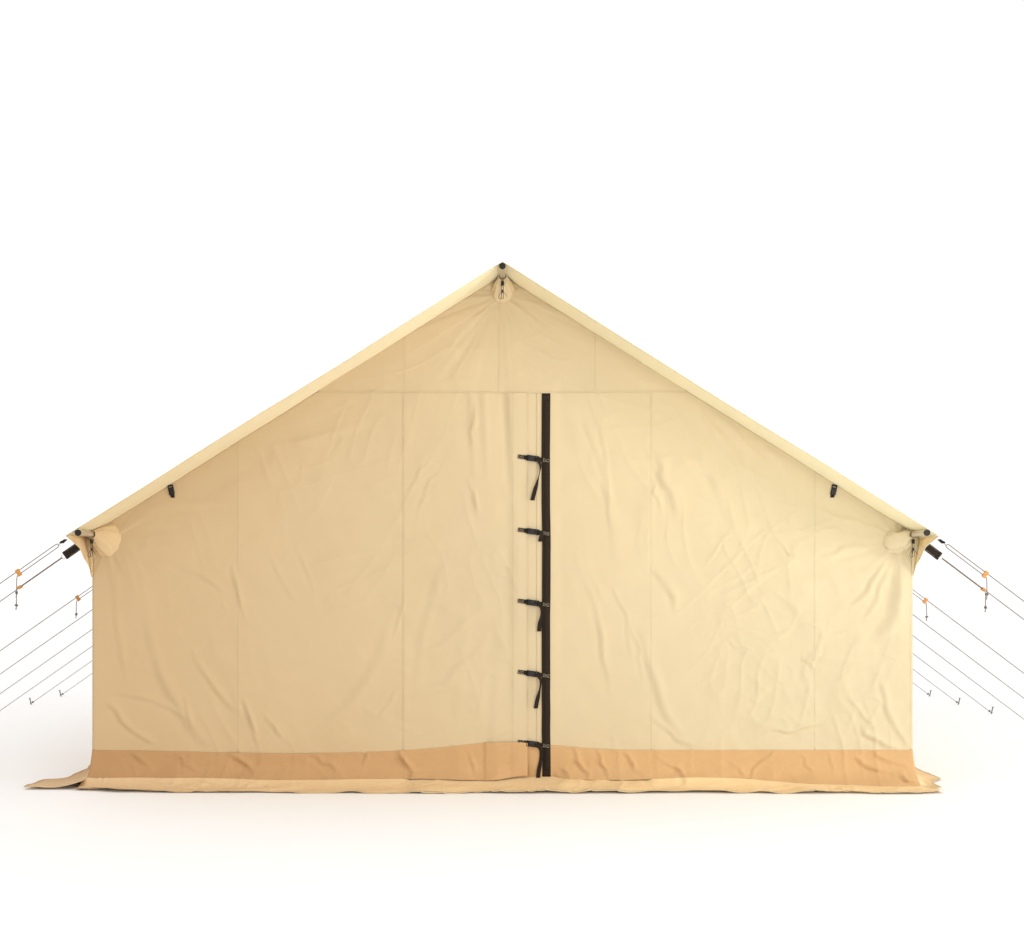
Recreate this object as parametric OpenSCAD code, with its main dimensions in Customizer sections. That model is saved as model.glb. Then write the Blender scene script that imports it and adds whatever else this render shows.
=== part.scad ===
/* [Tent] */
// Half of the width, from the centre line to a side wall
half_w = 2440; // [2000:20:2800]
// Half of the length, from the middle to the front or rear gable
half_l = 3050; // [2400:50:3600]
// Height of the eave pole's axis
eave_h = 1500; // [1300:10:1700]
// Height of the ridge pole's axis
ridge_h = 3018; // [2800:10:3200]
// How far the roof stands out past each gable
overhang = 360; // [250:10:450]
// Thickness of a canvas panel
canvas_t = 3; // [2:0.5:4]
// Height of the tan skirt band above the ground
skirt_h = 220; // [150:10:260]
// Width of the sod cloth that lies on the ground
sod_w = 250; // [150:10:300]
// Depth of the valance that hangs from the eave
valance_h = 225; // [150:5:260]

/* [Frame] */
// Outer diameter of the frame tubes
pole_d = 34; // [30:1:36]
// Wall of the frame tubes
pole_wall = 1.8; // [1.2:0.2:3]
// Number of rafter and leg stations along the tent
stations = 5; // [3:1:7]
// Side of a square foot plate
foot_w = 80; // [60:5:80]

/* [Door] */
// Where the left leaf is hinged, left of the centre line
door_l = 583; // [450:1:700]
// Where the right leaf is hinged, right of the centre line
door_r = 879; // [700:1:950]
// Where the two leaves meet
door_meet = 235; // [150:1:300]
// Height of the door's top edge
door_h = 2350; // [2100:10:2380]
// Width of the black binding tape beside the meeting edge
tape_w = 50; // [38:1:60]
// Width of the closing straps
strap_w = 25; // [20:1:30]
// Slope of the closing straps, falling to the right
strap_tilt = 7.9; // [0:0.1:12]

/* [Guy ropes] */
// Where the left stakes stand, from the centre line
stake_l = 4580; // [4200:10:4700]
// Where the right stakes stand, from the centre line
stake_r = 4430; // [4200:10:4700]
// Diameter of the guy rope
rope_d = 5; // [4:0.5:6]
// Distance between guy ropes along the wall
rope_pitch = 904; // [800:1:940]

/* [Hidden] */
$fn = 48;

// Tubes and the fittings that slide over them
pole_r = pole_d / 2;
slip = 0.25;
fitting_r = 20.5;
canvas_gap = 21;
eave_x = half_w - canvas_t - canvas_gap;
slope = atan((ridge_h - eave_h) / eave_x);
rafter_l = norm([eave_x, ridge_h - eave_h]);
pole_end = half_l + overhang - 10;
cap_face = half_l + overhang + 2;
station_y = half_l - 26;
station_ys = [for (i = [0:stations - 1]) -station_y + i * 2 * station_y / (stations - 1)];
socket_l = 120;
socket_gap = 26;
sleeve_l = 140;
foot_t = 4;
foot_cup_h = 60;

// Roof planes: height of the underside and of the top at the centre line
roof_under = ridge_h + canvas_gap / cos(slope);
roof_top = roof_under + canvas_t / cos(slope);
roof_edge_x = half_w + 45;
roof_l = half_l + overhang;
gable_clear = 4;

// Door leaves
leaf_gap = 2;
leaf_bottom = 50;
hem_w = 89;
hem_edge = 149;
leaf_seam = 0.25;
strap_zs = [1945, 1510, 1087, 665, 248];
strap_t = 1.8;
strap_tail_ls = [240, 60, 170, 205, 190];
plug_z = 9.8;
buckle_w = 34;
buckle_x = -84;
face_y = -half_l - canvas_t;

zip_t = 1.5;
zip_w = 30;
zip_y = -half_l + canvas_t;
zip_top = door_h - 40;

// Pole sleeves and their drawcord loops, whose route is seen in X and Z
sleeve_reach = 105;
sleeve_r = 20.5;
puff_l = 60;
puff_ridge_r = 60;
puff_eave_r = 70;
cord_d = 3;
cord_y = half_l + sleeve_reach - 12;
cord_gap = 5;
lock_drop = 32;
lock_h = 24;
loop_route = [
    [-5, 0, -20.2], [-5, 0, -110], [-7, 0, -122], [-5, 0, -131],
    [0, 0, -135], [5, 0, -131], [7, 0, -122], [5, 0, -110], [5, 0, -20.2]
];

// Guy ropes, one list entry per rope on a side
tab_z = 1462;
tab_x = roof_edge_x + canvas_t + 1;
front_y = -half_l - overhang + 18;
rope_ys = [front_y, -half_l + 30, for (i = [0:5]) -1470 + i * rope_pitch];
rope_l_angle = atan(tab_z / (stake_l - tab_x));
rope_r_angle = atan(tab_z / (stake_r - tab_x));
tab_ls = [30, 150, 120, 120, 120, 120, 120, 120];
tab_starts = [0, 18, 0, 0, 0, 0, 0, 0];
line_rolls = [0, 90, 0, 0, 0, 0, 0, 0];
tensioner_at = [330, 480, 640, 640, 640, 640, 640, 640];
tensioner_size = [22, 14, 40];
ring_r = 13;
wire_r = 2.5;
bend_r = 10;
rope_r = rope_d / 2;
rope_bore_r = 2.9;
rope_tail_l = 85;
stake_top = 62;
stake_pin_r = 5;
stake_lean = 14;

// ---- shared shapes ----

module tube(r, wall, h) {
    difference() {
        cylinder(r = r, h = h);
        translate([0, 0, -1]) cylinder(r = r - wall, h = h + 2);
    }
}

// A long pole along Y, as a tube
module long_pole() {
    translate([0, -pole_end, 0]) rotate([-90, 0, 0]) tube(pole_r, pole_wall, 2 * pole_end);
}

// Places its children at the right side (1) and the left side (-1)
module both_sides() {
    children();
    mirror([1, 0, 0]) children();
}

// Extrudes an outline drawn in X and Z from y to y + t
module upright(y, t) {
    translate([0, y + t, 0]) rotate([90, 0, 0]) linear_extrude(t) children();
}

function roof_z(x) = roof_under - abs(x) * tan(slope);

// ---- frame ----

module ridge_pole() {
    color("silver") translate([0, 0, ridge_h]) long_pole();
}

module eave_pole_left() {
    color("silver") translate([-eave_x, 0, eave_h]) long_pole();
}

module eave_pole_right() {
    color("silver") translate([eave_x, 0, eave_h]) long_pole();
}

// Sloping tubes from the ridge fittings to the eave fittings
module rafters() {
    gap = socket_gap + 6;
    color("silver")
    both_sides()
    for (y = station_ys)
        translate([eave_x, y, eave_h])
        rotate([0, slope - 90, 0])
        translate([0, 0, gap])
        tube(pole_r, pole_wall, rafter_l - 2 * gap);
}

module legs() {
    gap = socket_gap + 6;
    color("silver")
    both_sides()
    for (y = station_ys)
        translate([eave_x, y, foot_t + 1])
        tube(pole_r, pole_wall, eave_h - gap - foot_t - 1);
}

// One socket of a fitting, pointing up Z from the middle of the fitting
module socket_outer() {
    cylinder(r = fitting_r - 0.7, h = socket_l);
}

module socket_bore() {
    translate([0, 0, socket_gap]) cylinder(r = pole_r + slip, h = socket_l);
}

// How far a sleeve is moved along its pole, so that the end ones stay inside the gables
function sleeve_shift(y) = -sign(y) * max(0, abs(y) + sleeve_l / 2 - half_l + 6);

// A fitting with a through bore along Y and two sockets at the given turns about Y
module station_fitting(y, turn_a, turn_b) {
    shift = sleeve_shift(y);
    difference() {
        union() {
            translate([0, shift - sleeve_l / 2, 0])
            rotate([-90, 0, 0])
            cylinder(r = fitting_r, h = sleeve_l);
            rotate([0, turn_a, 0]) socket_outer();
            rotate([0, turn_b, 0]) socket_outer();
        }
        translate([0, -2 * sleeve_l, 0])
        rotate([-90, 0, 0])
        cylinder(r = pole_r + slip, h = 4 * sleeve_l);
        rotate([0, turn_a, 0]) socket_bore();
        rotate([0, turn_b, 0]) socket_bore();
    }
}

module ridge_connectors() {
    color("dimgray")
    for (y = station_ys)
        translate([0, y, ridge_h])
        station_fitting(y, 90 + slope, -90 - slope);
}

module eave_connectors() {
    color("dimgray")
    both_sides()
    for (y = station_ys)
        translate([eave_x, y, eave_h])
        station_fitting(y, slope - 90, 180);
}

// Square plates with a cup that the leg stands in; the end ones are moved in from the gables
module foot_plates() {
    inset = foot_w / 2 - fitting_r;
    color("dimgray")
    both_sides()
    for (y = station_ys)
        translate([eave_x, y, 0])
        difference() {
            union() {
                translate([fitting_r - foot_w, -foot_w / 2 - inset * sign(y), 0])
                cube([foot_w, foot_w, foot_t]);
                cylinder(r = fitting_r, h = foot_cup_h);
            }
            translate([0, 0, foot_t]) cylinder(r = pole_r + slip, h = foot_cup_h);
        }
}

// A black plug with a flat round head, for a pole's open end
module pole_cap() {
    cylinder(r = pole_r - pole_wall - slip, h = 30);
    translate([0, 0, 30]) cylinder(r = pole_r + 1, h = cap_face - pole_end);
}

module pole_caps() {
    color([0.08, 0.08, 0.09])
    for (p = [[0, ridge_h], [-eave_x, eave_h], [eave_x, eave_h]])
        for (side = [-1, 1])
            translate([p[0], side * (pole_end - 30), p[1]])
            rotate([-90 * side, 0, 0])
            pole_cap();
}

// ---- canvas ----

// One roof slope: a flat sheet from the ridge to the eave
module roof_slope() {
    edge_z = roof_z(roof_edge_x);
    rise = canvas_t / cos(slope);
    translate([0, roof_l, 0])
    rotate([90, 0, 0])
    linear_extrude(2 * roof_l)
    polygon([[0, roof_under], [0, roof_top], [roof_edge_x, edge_z + rise], [roof_edge_x, edge_z]]);
}

module roof_right() {
    color("wheat") roof_slope();
}

module roof_left() {
    color("wheat") mirror([1, 0, 0]) roof_slope();
}

// The valance's lower edge sweeps up in an S to the roof's end
function valance_drop(u) = valance_h * (1 + cos(180 * u)) / 2;

module valance() {
    top = roof_z(roof_edge_x) + canvas_t;
    steps = 10;
    foot = [for (i = [0:steps]) [half_l + overhang * i / steps, top - 12 - valance_drop(i / steps)]];
    rear = [for (i = [steps:-1:0]) [-foot[i][0], foot[i][1]]];
    translate([roof_edge_x, 0, 0])
    rotate([90, 0, 90])
    linear_extrude(canvas_t)
    polygon(concat(foot, [[roof_l, top], [-roof_l, top]], rear));
}

module valance_right() {
    color("wheat") valance();
}

module valance_left() {
    color("wheat") mirror([1, 0, 0]) valance();
}

module side_wall() {
    top = roof_z(half_w) - gable_clear;
    translate([half_w - canvas_t, -half_l, skirt_h]) cube([canvas_t, 2 * half_l, top - skirt_h]);
}

module side_wall_right() {
    color("tan") side_wall();
}

module side_wall_left() {
    color("tan") mirror([1, 0, 0]) side_wall();
}

// The whole gable outline above the skirt, with room for the three poles
module gable_outline() {
    w = half_w - canvas_t - 1;
    difference() {
        polygon([
            [-w, skirt_h], [w, skirt_h], [w, roof_z(w) - gable_clear],
            [0, roof_under - gable_clear], [-w, roof_z(w) - gable_clear]
        ]);
        for (p = [[0, ridge_h], [-eave_x, eave_h], [eave_x, eave_h]])
            translate(p) circle(r = pole_r + 1);
    }
}

module gable_rear() {
    color("burlywood") upright(half_l - canvas_t, canvas_t) gable_outline();
}

module gable_front_top() {
    color("burlywood")
    upright(-half_l, canvas_t)
    intersection() {
        gable_outline();
        translate([-half_w, door_h]) square([2 * half_w, ridge_h]);
    }
}

module gable_front_left() {
    color("burlywood")
    upright(-half_l, canvas_t)
    intersection() {
        gable_outline();
        translate([-half_w, 0]) square([half_w - door_l, door_h]);
    }
}

module gable_front_right() {
    color("burlywood")
    upright(-half_l, canvas_t)
    intersection() {
        gable_outline();
        translate([door_r, 0]) square([half_w - door_r, door_h]);
    }
}

// The tan band round the foot of the fixed walls
module skirt() {
    w = half_w - canvas_t - 1;
    color("peru") {
        both_sides()
        translate([half_w - canvas_t, -half_l, canvas_t])
        cube([canvas_t, 2 * half_l, skirt_h - canvas_t]);
        translate([-w, half_l - canvas_t, canvas_t]) cube([2 * w, canvas_t, skirt_h - canvas_t]);
        translate([-w, -half_l, canvas_t]) cube([w - door_l, canvas_t, skirt_h - canvas_t]);
        translate([door_r, -half_l, canvas_t]) cube([w - door_r, canvas_t, skirt_h - canvas_t]);
    }
}

module sod_strip() {
    w = half_w + sod_w;
    translate([-w, half_l - canvas_t, 0]) cube([2 * w, sod_w, canvas_t]);
}

module sod_cloth_front() {
    color("khaki") mirror([0, 1, 0]) sod_strip();
}

module sod_cloth_rear() {
    color("khaki") sod_strip();
}

module sod_cloth_sides() {
    color("khaki")
    both_sides()
    translate([half_w - canvas_t, -half_l + canvas_t, 0])
    cube([sod_w + canvas_t, 2 * (half_l - canvas_t), canvas_t]);
}

// ---- pole sleeves with their drawcords ----

// A canvas sleeve round the pole, with a bag of gathered canvas where it leaves the gable
module cuff(inboard, below, puff_r) {
    difference() {
        union() {
            rotate([90, 0, 0]) cylinder(r = sleeve_r, h = sleeve_reach);
            translate([inboard, 0, -below]) rotate([90, 0, 0]) cylinder(r = puff_r, h = puff_l);
        }
        translate([0, 20, 0]) rotate([90, 0, 0]) cylinder(r = pole_r + slip, h = 2 * sleeve_reach);
    }
}

module front_sleeves() {
    translate([0, -half_l, ridge_h]) cuff(0, 50, puff_ridge_r);
    translate([eave_x, -half_l, eave_h]) cuff(-60, 38, puff_eave_r);
    translate([-eave_x, -half_l, eave_h]) cuff(60, 38, puff_eave_r);
}

module pole_sleeves() {
    color("bisque") {
        front_sleeves();
        mirror([0, 1, 0]) front_sleeves();
    }
}

// ---- swept cords ----

function unit(v) = v / norm(v);
function heading(p, i) = unit(p[min(i + 1, len(p) - 1)] - p[max(i - 1, 0)]);

// Rings of points round a route that stays near a plane with the normal nrm
function cord_rings(p, r, nrm, n) = [
    for (i = [0:len(p) - 1])
        let (side = unit(cross(heading(p, i), nrm)), up = cross(side, heading(p, i)))
        for (k = [0:n - 1])
            p[i] + r * (cos(360 * k / n) * side + sin(360 * k / n) * up)
];

// A cord of radius r swept along the route p, with n sides
module cord(p, r, nrm, n = 8) {
    last = len(p) - 1;
    walls = [for (i = [0:last - 1], k = [0:n - 1])
        [i * n + k, i * n + (k + 1) % n, (i + 1) * n + (k + 1) % n, (i + 1) * n + k]];
    ends = [[for (k = [n - 1:-1:0]) k], [for (k = [0:n - 1]) last * n + k]];
    polyhedron(cord_rings(p, r, nrm, n), concat(walls, ends));
}

// The loop's places: ridge, left eave and right eave, at the front (-1) or the rear (1)
function loop_place(x, z, side) = [x, side * cord_y, z];

module drawcord(place) {
    translate(place) cord(loop_route, cord_d / 2, [0, 1, 0]);
}

module sleeve_drawcords() {
    color([0.12, 0.11, 0.1])
    for (side = [-1, 1]) {
        drawcord(loop_place(0, ridge_h, side));
        drawcord(loop_place(-eave_x, eave_h, side));
        drawcord(loop_place(eave_x, eave_h, side));
    }
}

// A barrel-shaped lock with two holes for the cord's strands and a press button
module cord_lock(place) {
    translate(place + [0, 0, -lock_drop - lock_h])
    difference() {
        union() {
            cylinder(r = 9, h = lock_h);
            translate([0, 0, lock_h]) cylinder(r = 2.2, h = 5);
        }
        for (x = [-cord_gap, cord_gap])
            translate([x, 0, -1]) cylinder(r = cord_d / 2 + 0.4, h = lock_h + 2);
    }
}

module cord_lock_ridge() {
    color([0.05, 0.05, 0.05]) cord_lock(loop_place(0, ridge_h, -1));
}

module cord_lock_left() {
    color([0.05, 0.05, 0.05]) cord_lock(loop_place(-eave_x, eave_h, -1));
}

module cord_lock_right() {
    color([0.05, 0.05, 0.05]) cord_lock(loop_place(eave_x, eave_h, -1));
}

module cord_locks_rear() {
    color([0.05, 0.05, 0.05])
    for (p = [[0, ridge_h], [-eave_x, eave_h], [eave_x, eave_h]])
        cord_lock(loop_place(p[0], p[1], 1));
}

// ---- guy ropes ----

// Places children on a guy line: X runs down the line from its tab, Z stands off it
module on_line(side, y) {
    angle = side > 0 ? rope_r_angle : rope_l_angle;
    translate([side * tab_x, y, tab_z])
    rotate([0, 0, side > 0 ? 0 : 180])
    rotate([0, angle, 0])
    children();
}

module on_each_line(side, first, last) {
    for (i = [first:last])
        on_line(side, rope_ys[i]) let ($line = i) children();
}

// Turns what is on a line about it; the corner line's tab faces along the tent
module rolled() {
    rotate([line_rolls[$line], 0, 0]) children();
}

// A folded webbing tab with a notch for its ring
module guy_tab(l, start) {
    wide = 50;
    thick = 2.5;
    difference() {
        translate([start, -wide / 2, -thick / 2]) cube([l + 6 - start, wide, thick]);
        translate([l + ring_r, 0, 0])
        rotate_extrude()
        translate([ring_r, 0]) circle(r = wire_r + 0.2);
    }
}

module guy_ring(l) {
    translate([l + ring_r, 0, 0]) rotate_extrude() translate([ring_r, 0]) circle(r = wire_r);
}

module guy_tabs() {
    color([0.1, 0.09, 0.08])
    for (side = [-1, 1])
        on_each_line(side, 0, 7) rolled() guy_tab(tab_ls[$line], tab_starts[$line]);
}

module guy_rings() {
    color("gray")
    for (side = [-1, 1])
        on_each_line(side, 0, 7) rolled() guy_ring(tab_ls[$line]);
}

// Route of one rope in the line's own frame: tail, slider, ring, slider, stake
function bend_x(l) = l + 2 * ring_r - wire_r - rope_r + bend_r;
function line_end(side) = norm([(side > 0 ? stake_r : stake_l) - tab_x, tab_z]) - 11;
function off_line(i) = [0, -sin(line_rolls[i]), cos(line_rolls[i])];
function rope_route(side, i) =
    let (
        angle = side > 0 ? rope_r_angle : rope_l_angle,
        down = [sin(angle), 0, -cos(angle)],
        off = off_line(i),
        hole = [tensioner_at[i], 0, 0] - bend_r * off,
        bend = [bend_x(tab_ls[i]), 0, 0]
    )
    [
        hole + [26, 0, -8] + rope_tail_l * down,
        hole + [26, 0, -8] + 0.45 * rope_tail_l * down,
        hole + [22, 0, -5],
        hole + [14, 0, 0],
        hole + [-40, 0, 0],
        bend + [20, 0, 0] - bend_r * off,
        bend - bend_r * off,
        bend + [-0.7 * bend_r, 0, 0] - 0.7 * bend_r * off,
        bend + [-bend_r, 0, 0],
        bend + [-0.7 * bend_r, 0, 0] + 0.7 * bend_r * off,
        bend + bend_r * off,
        bend + [20, 0, 0] + bend_r * off,
        [line_end(side), 0, 0] + bend_r * off
    ];

module guy_rope(side, i) {
    plane = [0, cos(line_rolls[i]), sin(line_rolls[i])];
    on_line(side, rope_ys[i]) cord(rope_route(side, i), rope_r, plane);
}

module guy_ropes_left() {
    color([0.35, 0.3, 0.24])
    for (i = [0:7])
        guy_rope(-1, i);
}

module guy_ropes_right() {
    color([0.35, 0.3, 0.24])
    for (i = [0:7])
        guy_rope(1, i);
}

// A flat runner with a hole for each strand of its rope
module tensioner() {
    size = tensioner_size;
    rolled()
    translate([tensioner_at[$line], 0, 0])
    difference() {
        translate(-size / 2) cube(size);
        for (z = [-bend_r, bend_r])
            translate([-size[0], 0, z]) rotate([0, 90, 0]) cylinder(r = rope_bore_r, h = 2 * size[0]);
    }
}

module tensioner_front_left() {
    color("peru") on_each_line(-1, 0, 0) tensioner();
}

module tensioner_front_right() {
    color("peru") on_each_line(1, 0, 0) tensioner();
}

module tensioner_corner_left() {
    color("peru") on_each_line(-1, 1, 1) tensioner();
}

module tensioner_corner_right() {
    color("peru") on_each_line(1, 1, 1) tensioner();
}

module tensioners_left() {
    color("peru") on_each_line(-1, 2, 7) tensioner();
}

module tensioners_right() {
    color("peru") on_each_line(1, 2, 7) tensioner();
}

// The part of a steel stake that stands above the ground
module stake() {
    difference() {
        rotate([0, stake_lean, 0])
        union() {
            translate([0, 0, -20]) cylinder(r = stake_pin_r, h = stake_top + 20);
            translate([0, 0, stake_top]) cylinder(r = 11, h = 5);
        }
        translate([-50, -50, -50]) cube([100, 100, 50]);
    }
}

module stakes() {
    color("slategray")
    for (y = rope_ys) {
        translate([stake_r, y, 0]) stake();
        translate([-stake_l, y, 0]) mirror([1, 0, 0]) stake();
    }
}

// ---- small buckles that hang on the gable under the roof edge ----

module gable_buckles() {
    color([0.05, 0.05, 0.05])
    both_sides()
    translate([1970, -half_l, 1766])
    rotate([0, 12, 0])
    difference() {
        translate([-16, -12, -30]) cube([32, 11.9, 60]);
        translate([-12, -9, -31]) cube([24, 6, 36]);
        translate([-12, -20, 14]) cube([24, 30, 7]);
    }
}

// ---- door ----

module door_left() {
    top = door_h - leaf_gap;
    h = top - skirt_h;
    x0 = -door_l + leaf_gap;
    color("burlywood") {
        translate([x0, -half_l, skirt_h]) cube([door_meet - leaf_seam - x0, canvas_t, h]);
        translate([hem_edge - hem_w, face_y, skirt_h]) cube([hem_w, canvas_t, h]);
    }
}

module door_right() {
    w = door_r - leaf_gap - door_meet - leaf_seam;
    color("burlywood")
    translate([door_meet + leaf_seam, -half_l, skirt_h])
    cube([w, canvas_t, door_h - leaf_gap - skirt_h]);
}

module door_left_skirt() {
    x0 = -door_l + leaf_gap;
    color("peru") {
        translate([x0, -half_l, leaf_bottom])
        cube([door_meet - leaf_seam - x0, canvas_t, skirt_h - leaf_bottom]);
        translate([hem_edge - 250, face_y, leaf_bottom]) cube([250, canvas_t, skirt_h - leaf_bottom]);
    }
}

module door_right_skirt() {
    w = door_r - leaf_gap - door_meet - leaf_seam;
    color("peru")
    translate([door_meet + leaf_seam, -half_l, leaf_bottom])
    cube([w, canvas_t, skirt_h - leaf_bottom]);
}

module binding_tape() {
    color([0.1, 0.08, 0.07])
    translate([door_meet + leaf_seam, face_y, 60])
    cube([tape_w, canvas_t, door_h - 10 - 60]);
}

// Places children at a closing strap: X runs down the strap from the meeting edge
module at_strap(i) {
    translate([door_meet, face_y, strap_zs[i]]) rotate([0, strap_tilt, 0]) children();
}

// A box whose near face is at outward distance w0 from the door's face
module outward_box(x0, x1, z0, z1, w0, w1) {
    translate([x0, -w1, z0]) cube([x1 - x0, w1 - w0, z1 - z0]);
}

// Straps sewn to the binding tape, running into the plugs
module door_straps() {
    color([0.1, 0.08, 0.07])
    for (i = [0:4])
        at_strap(i) outward_box(-40, tape_w - 4, -strap_w / 2, strap_w / 2, 0, strap_t);
}

// The loose ends that hang in front of the plugs
module strap_tails() {
    color([0.1, 0.08, 0.07])
    for (i = [0:4])
        at_strap(i)
        rotate([0, -strap_tilt, 0])
        outward_box(-44, -20, -strap_tail_ls[i], -2, plug_z + 4.2, plug_z + 4.2 + strap_t);
}

// Straps sewn to the left leaf's hem, holding the sockets
module socket_straps() {
    color([0.1, 0.08, 0.07])
    for (i = [0:4])
        at_strap(i) outward_box(-146, -90, -strap_w / 2, strap_w / 2, 0, strap_t);
}

module buckle_socket() {
    half = buckle_w / 2;
    difference() {
        outward_box(buckle_x - 10, buckle_x + 38, -half, half, 2.2, 13.4);
        outward_box(buckle_x + 6, buckle_x + 40, -13.5, 13.5, 4.6, 11);
        outward_box(buckle_x + 14, buckle_x + 27, -half - 1, half + 1, 4.6, 11);
        outward_box(buckle_x - 6, buckle_x, -13, 13, 0, 20);
    }
}

module buckle_sockets() {
    color([0.04, 0.04, 0.04])
    for (i = [0:4])
        at_strap(i) buckle_socket();
}

// Two spring arms and a middle tongue on a body with a ladder slot
module buckle_plug(i) {
    half = buckle_w / 2;
    color([0.04, 0.04, 0.04])
    at_strap(i)
    difference() {
        union() {
            outward_box(buckle_x + 38.4, buckle_x + 66, -half, half, 2.4, 13.4);
            outward_box(buckle_x + 10, buckle_x + 39, -3, 3, 5.4, 10.2);
            outward_box(buckle_x + 13, buckle_x + 39, 8, 12.5, 5.4, 10.2);
            outward_box(buckle_x + 13, buckle_x + 39, -12.5, -8, 5.4, 10.2);
        }
        outward_box(buckle_x + 48, buckle_x + 53, -13, 13, 0, 20);
        outward_box(buckle_x + 57, buckle_x + 62, -13, 13, 0, 20);
    }
}

module buckle_plug_1() {
    buckle_plug(0);
}

module buckle_plug_2() {
    buckle_plug(1);
}

module buckle_plug_3() {
    buckle_plug(2);
}

module buckle_plug_4() {
    buckle_plug(3);
}

module buckle_plug_5() {
    buckle_plug(4);
}

module zip_tape_left() {
    color([0.15, 0.13, 0.1])
    translate([door_meet - leaf_seam - zip_w, zip_y, leaf_bottom + 20])
    cube([zip_w, zip_t, zip_top - leaf_bottom - 20]);
}

module zip_tape_right() {
    color([0.15, 0.13, 0.1])
    translate([door_meet + leaf_seam, zip_y, leaf_bottom + 20])
    cube([zip_w, zip_t, zip_top - leaf_bottom - 20]);
}

// The slider, with its pull hanging inside the tent
module zip_slider() {
    back = zip_y + zip_t + 0.4;
    color("goldenrod")
    translate([door_meet, back, zip_top - 45]) {
        translate([-8, 0, 0]) cube([16, 6, 30]);
        translate([-5, 6, -30]) cube([10, 2, 50]);
    }
}

ridge_pole();
eave_pole_left();
eave_pole_right();
rafters();
legs();
ridge_connectors();
eave_connectors();
foot_plates();
pole_caps();
roof_left();
roof_right();
valance_left();
valance_right();
side_wall_left();
side_wall_right();
gable_rear();
gable_front_top();
gable_front_left();
gable_front_right();
skirt();
sod_cloth_front();
sod_cloth_rear();
sod_cloth_sides();
pole_sleeves();
sleeve_drawcords();
cord_lock_ridge();
cord_lock_left();
cord_lock_right();
cord_locks_rear();
guy_tabs();
guy_rings();
gable_buckles();
door_left();
door_right();
door_left_skirt();
door_right_skirt();
binding_tape();
door_straps();
strap_tails();
socket_straps();
buckle_sockets();
buckle_plug_1();
buckle_plug_2();
buckle_plug_3();
buckle_plug_4();
buckle_plug_5();
zip_tape_left();
zip_tape_right();
zip_slider();
guy_ropes_left();
guy_ropes_right();
stakes();
tensioner_front_left();
tensioner_front_right();
tensioner_corner_left();
tensioner_corner_right();
tensioners_left();
tensioners_right();
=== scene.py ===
"""A canvas wall tent on an inner frame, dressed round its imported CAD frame.

Metres throughout: +X right, -Y out through the door, +Z up. Every canvas panel is a curved grid
of points whose wrinkles are functions of place, so that panels that are sewn together meet.
"""
import math

import bmesh
import bpy
import numpy as np
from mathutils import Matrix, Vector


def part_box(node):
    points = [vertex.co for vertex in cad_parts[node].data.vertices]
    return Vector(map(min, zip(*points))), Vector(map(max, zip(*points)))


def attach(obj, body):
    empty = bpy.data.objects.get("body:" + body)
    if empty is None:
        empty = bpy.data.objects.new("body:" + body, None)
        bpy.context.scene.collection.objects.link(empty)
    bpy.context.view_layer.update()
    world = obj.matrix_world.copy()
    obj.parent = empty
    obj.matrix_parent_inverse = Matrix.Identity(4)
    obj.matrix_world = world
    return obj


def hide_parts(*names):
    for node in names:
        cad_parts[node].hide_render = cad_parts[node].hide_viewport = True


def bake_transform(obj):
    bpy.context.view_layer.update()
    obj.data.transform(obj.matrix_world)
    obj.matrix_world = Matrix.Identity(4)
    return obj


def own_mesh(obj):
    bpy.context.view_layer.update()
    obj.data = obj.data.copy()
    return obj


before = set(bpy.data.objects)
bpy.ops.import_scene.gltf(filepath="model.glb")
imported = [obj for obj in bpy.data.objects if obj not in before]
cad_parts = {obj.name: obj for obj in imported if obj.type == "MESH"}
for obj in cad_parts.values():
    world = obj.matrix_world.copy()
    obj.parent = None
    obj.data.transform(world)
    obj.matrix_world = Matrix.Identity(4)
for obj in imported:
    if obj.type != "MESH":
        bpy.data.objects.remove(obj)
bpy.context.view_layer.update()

# ---- places read from the frame ----
HALF_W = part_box("side_wall_right")[1].x
HALF_L = -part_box("gable_front_left")[0].y
SEAM_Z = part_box("gable_front_top")[0].z
SKIRT_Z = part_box("skirt")[1].z
EAVE_X, ROOF_HALF_L, RIDGE_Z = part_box("roof_right")[1]
CANVAS_T = 0.003
DOOR_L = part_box("gable_front_left")[1].x
DOOR_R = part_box("gable_front_right")[0].x
MEET_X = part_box("door_right")[0].x
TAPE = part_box("binding_tape")
RIDGE_POLE_Z = (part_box("ridge_pole")[0].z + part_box("ridge_pole")[1].z) / 2
EAVE_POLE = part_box("eave_pole_right")
EAVE_POLE_X = (EAVE_POLE[0].x + EAVE_POLE[1].x) / 2
EAVE_POLE_Z = (EAVE_POLE[0].z + EAVE_POLE[1].z) / 2
POLE_R = (EAVE_POLE[1].x - EAVE_POLE[0].x) / 2
SLOPE = math.atan2(RIDGE_POLE_Z - EAVE_POLE_Z, EAVE_POLE_X)
ROOF_RISE = CANVAS_T / math.cos(SLOPE)
# As in the part's source: the left leaf's free edge and its hem's width, then the straps' slope,
# heights and width.
HEM_EDGE = 0.149
HEM_W = 0.089
STRAP_TILT = math.radians(7.9)
STRAP_ZS = [1.945, 1.510, 1.087, 0.665, 0.248]
STRAP_W = 0.025
FACE_Y = -HALF_L - CANVAS_T
# Grid steps of the front's cloth, and of cloth further away.
FINE = 0.010
COARSE = 0.03


# ---- camera ----

CAMERA_AWAY = 8.2
CAMERA_Z = 1.26


def on_stage(name, data):
    """A new object in the scene."""
    obj = bpy.data.objects.new(name, data)
    bpy.context.collection.objects.link(obj)
    return obj


def make_camera():
    """Stands level in front of the door, a little above a seated person's eyes."""
    cam = bpy.data.cameras.new("camera")
    cam.lens, cam.sensor_width = 48.45, 36
    cam.shift_x, cam.shift_y = 0.0093, 0.1025
    obj = on_stage("camera", cam)
    obj.location = (0, -HALF_L - CAMERA_AWAY, CAMERA_Z)
    obj.rotation_euler = (math.radians(90), 0, 0)
    bpy.context.scene.camera = obj


make_camera()


# ---- materials ----

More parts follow.
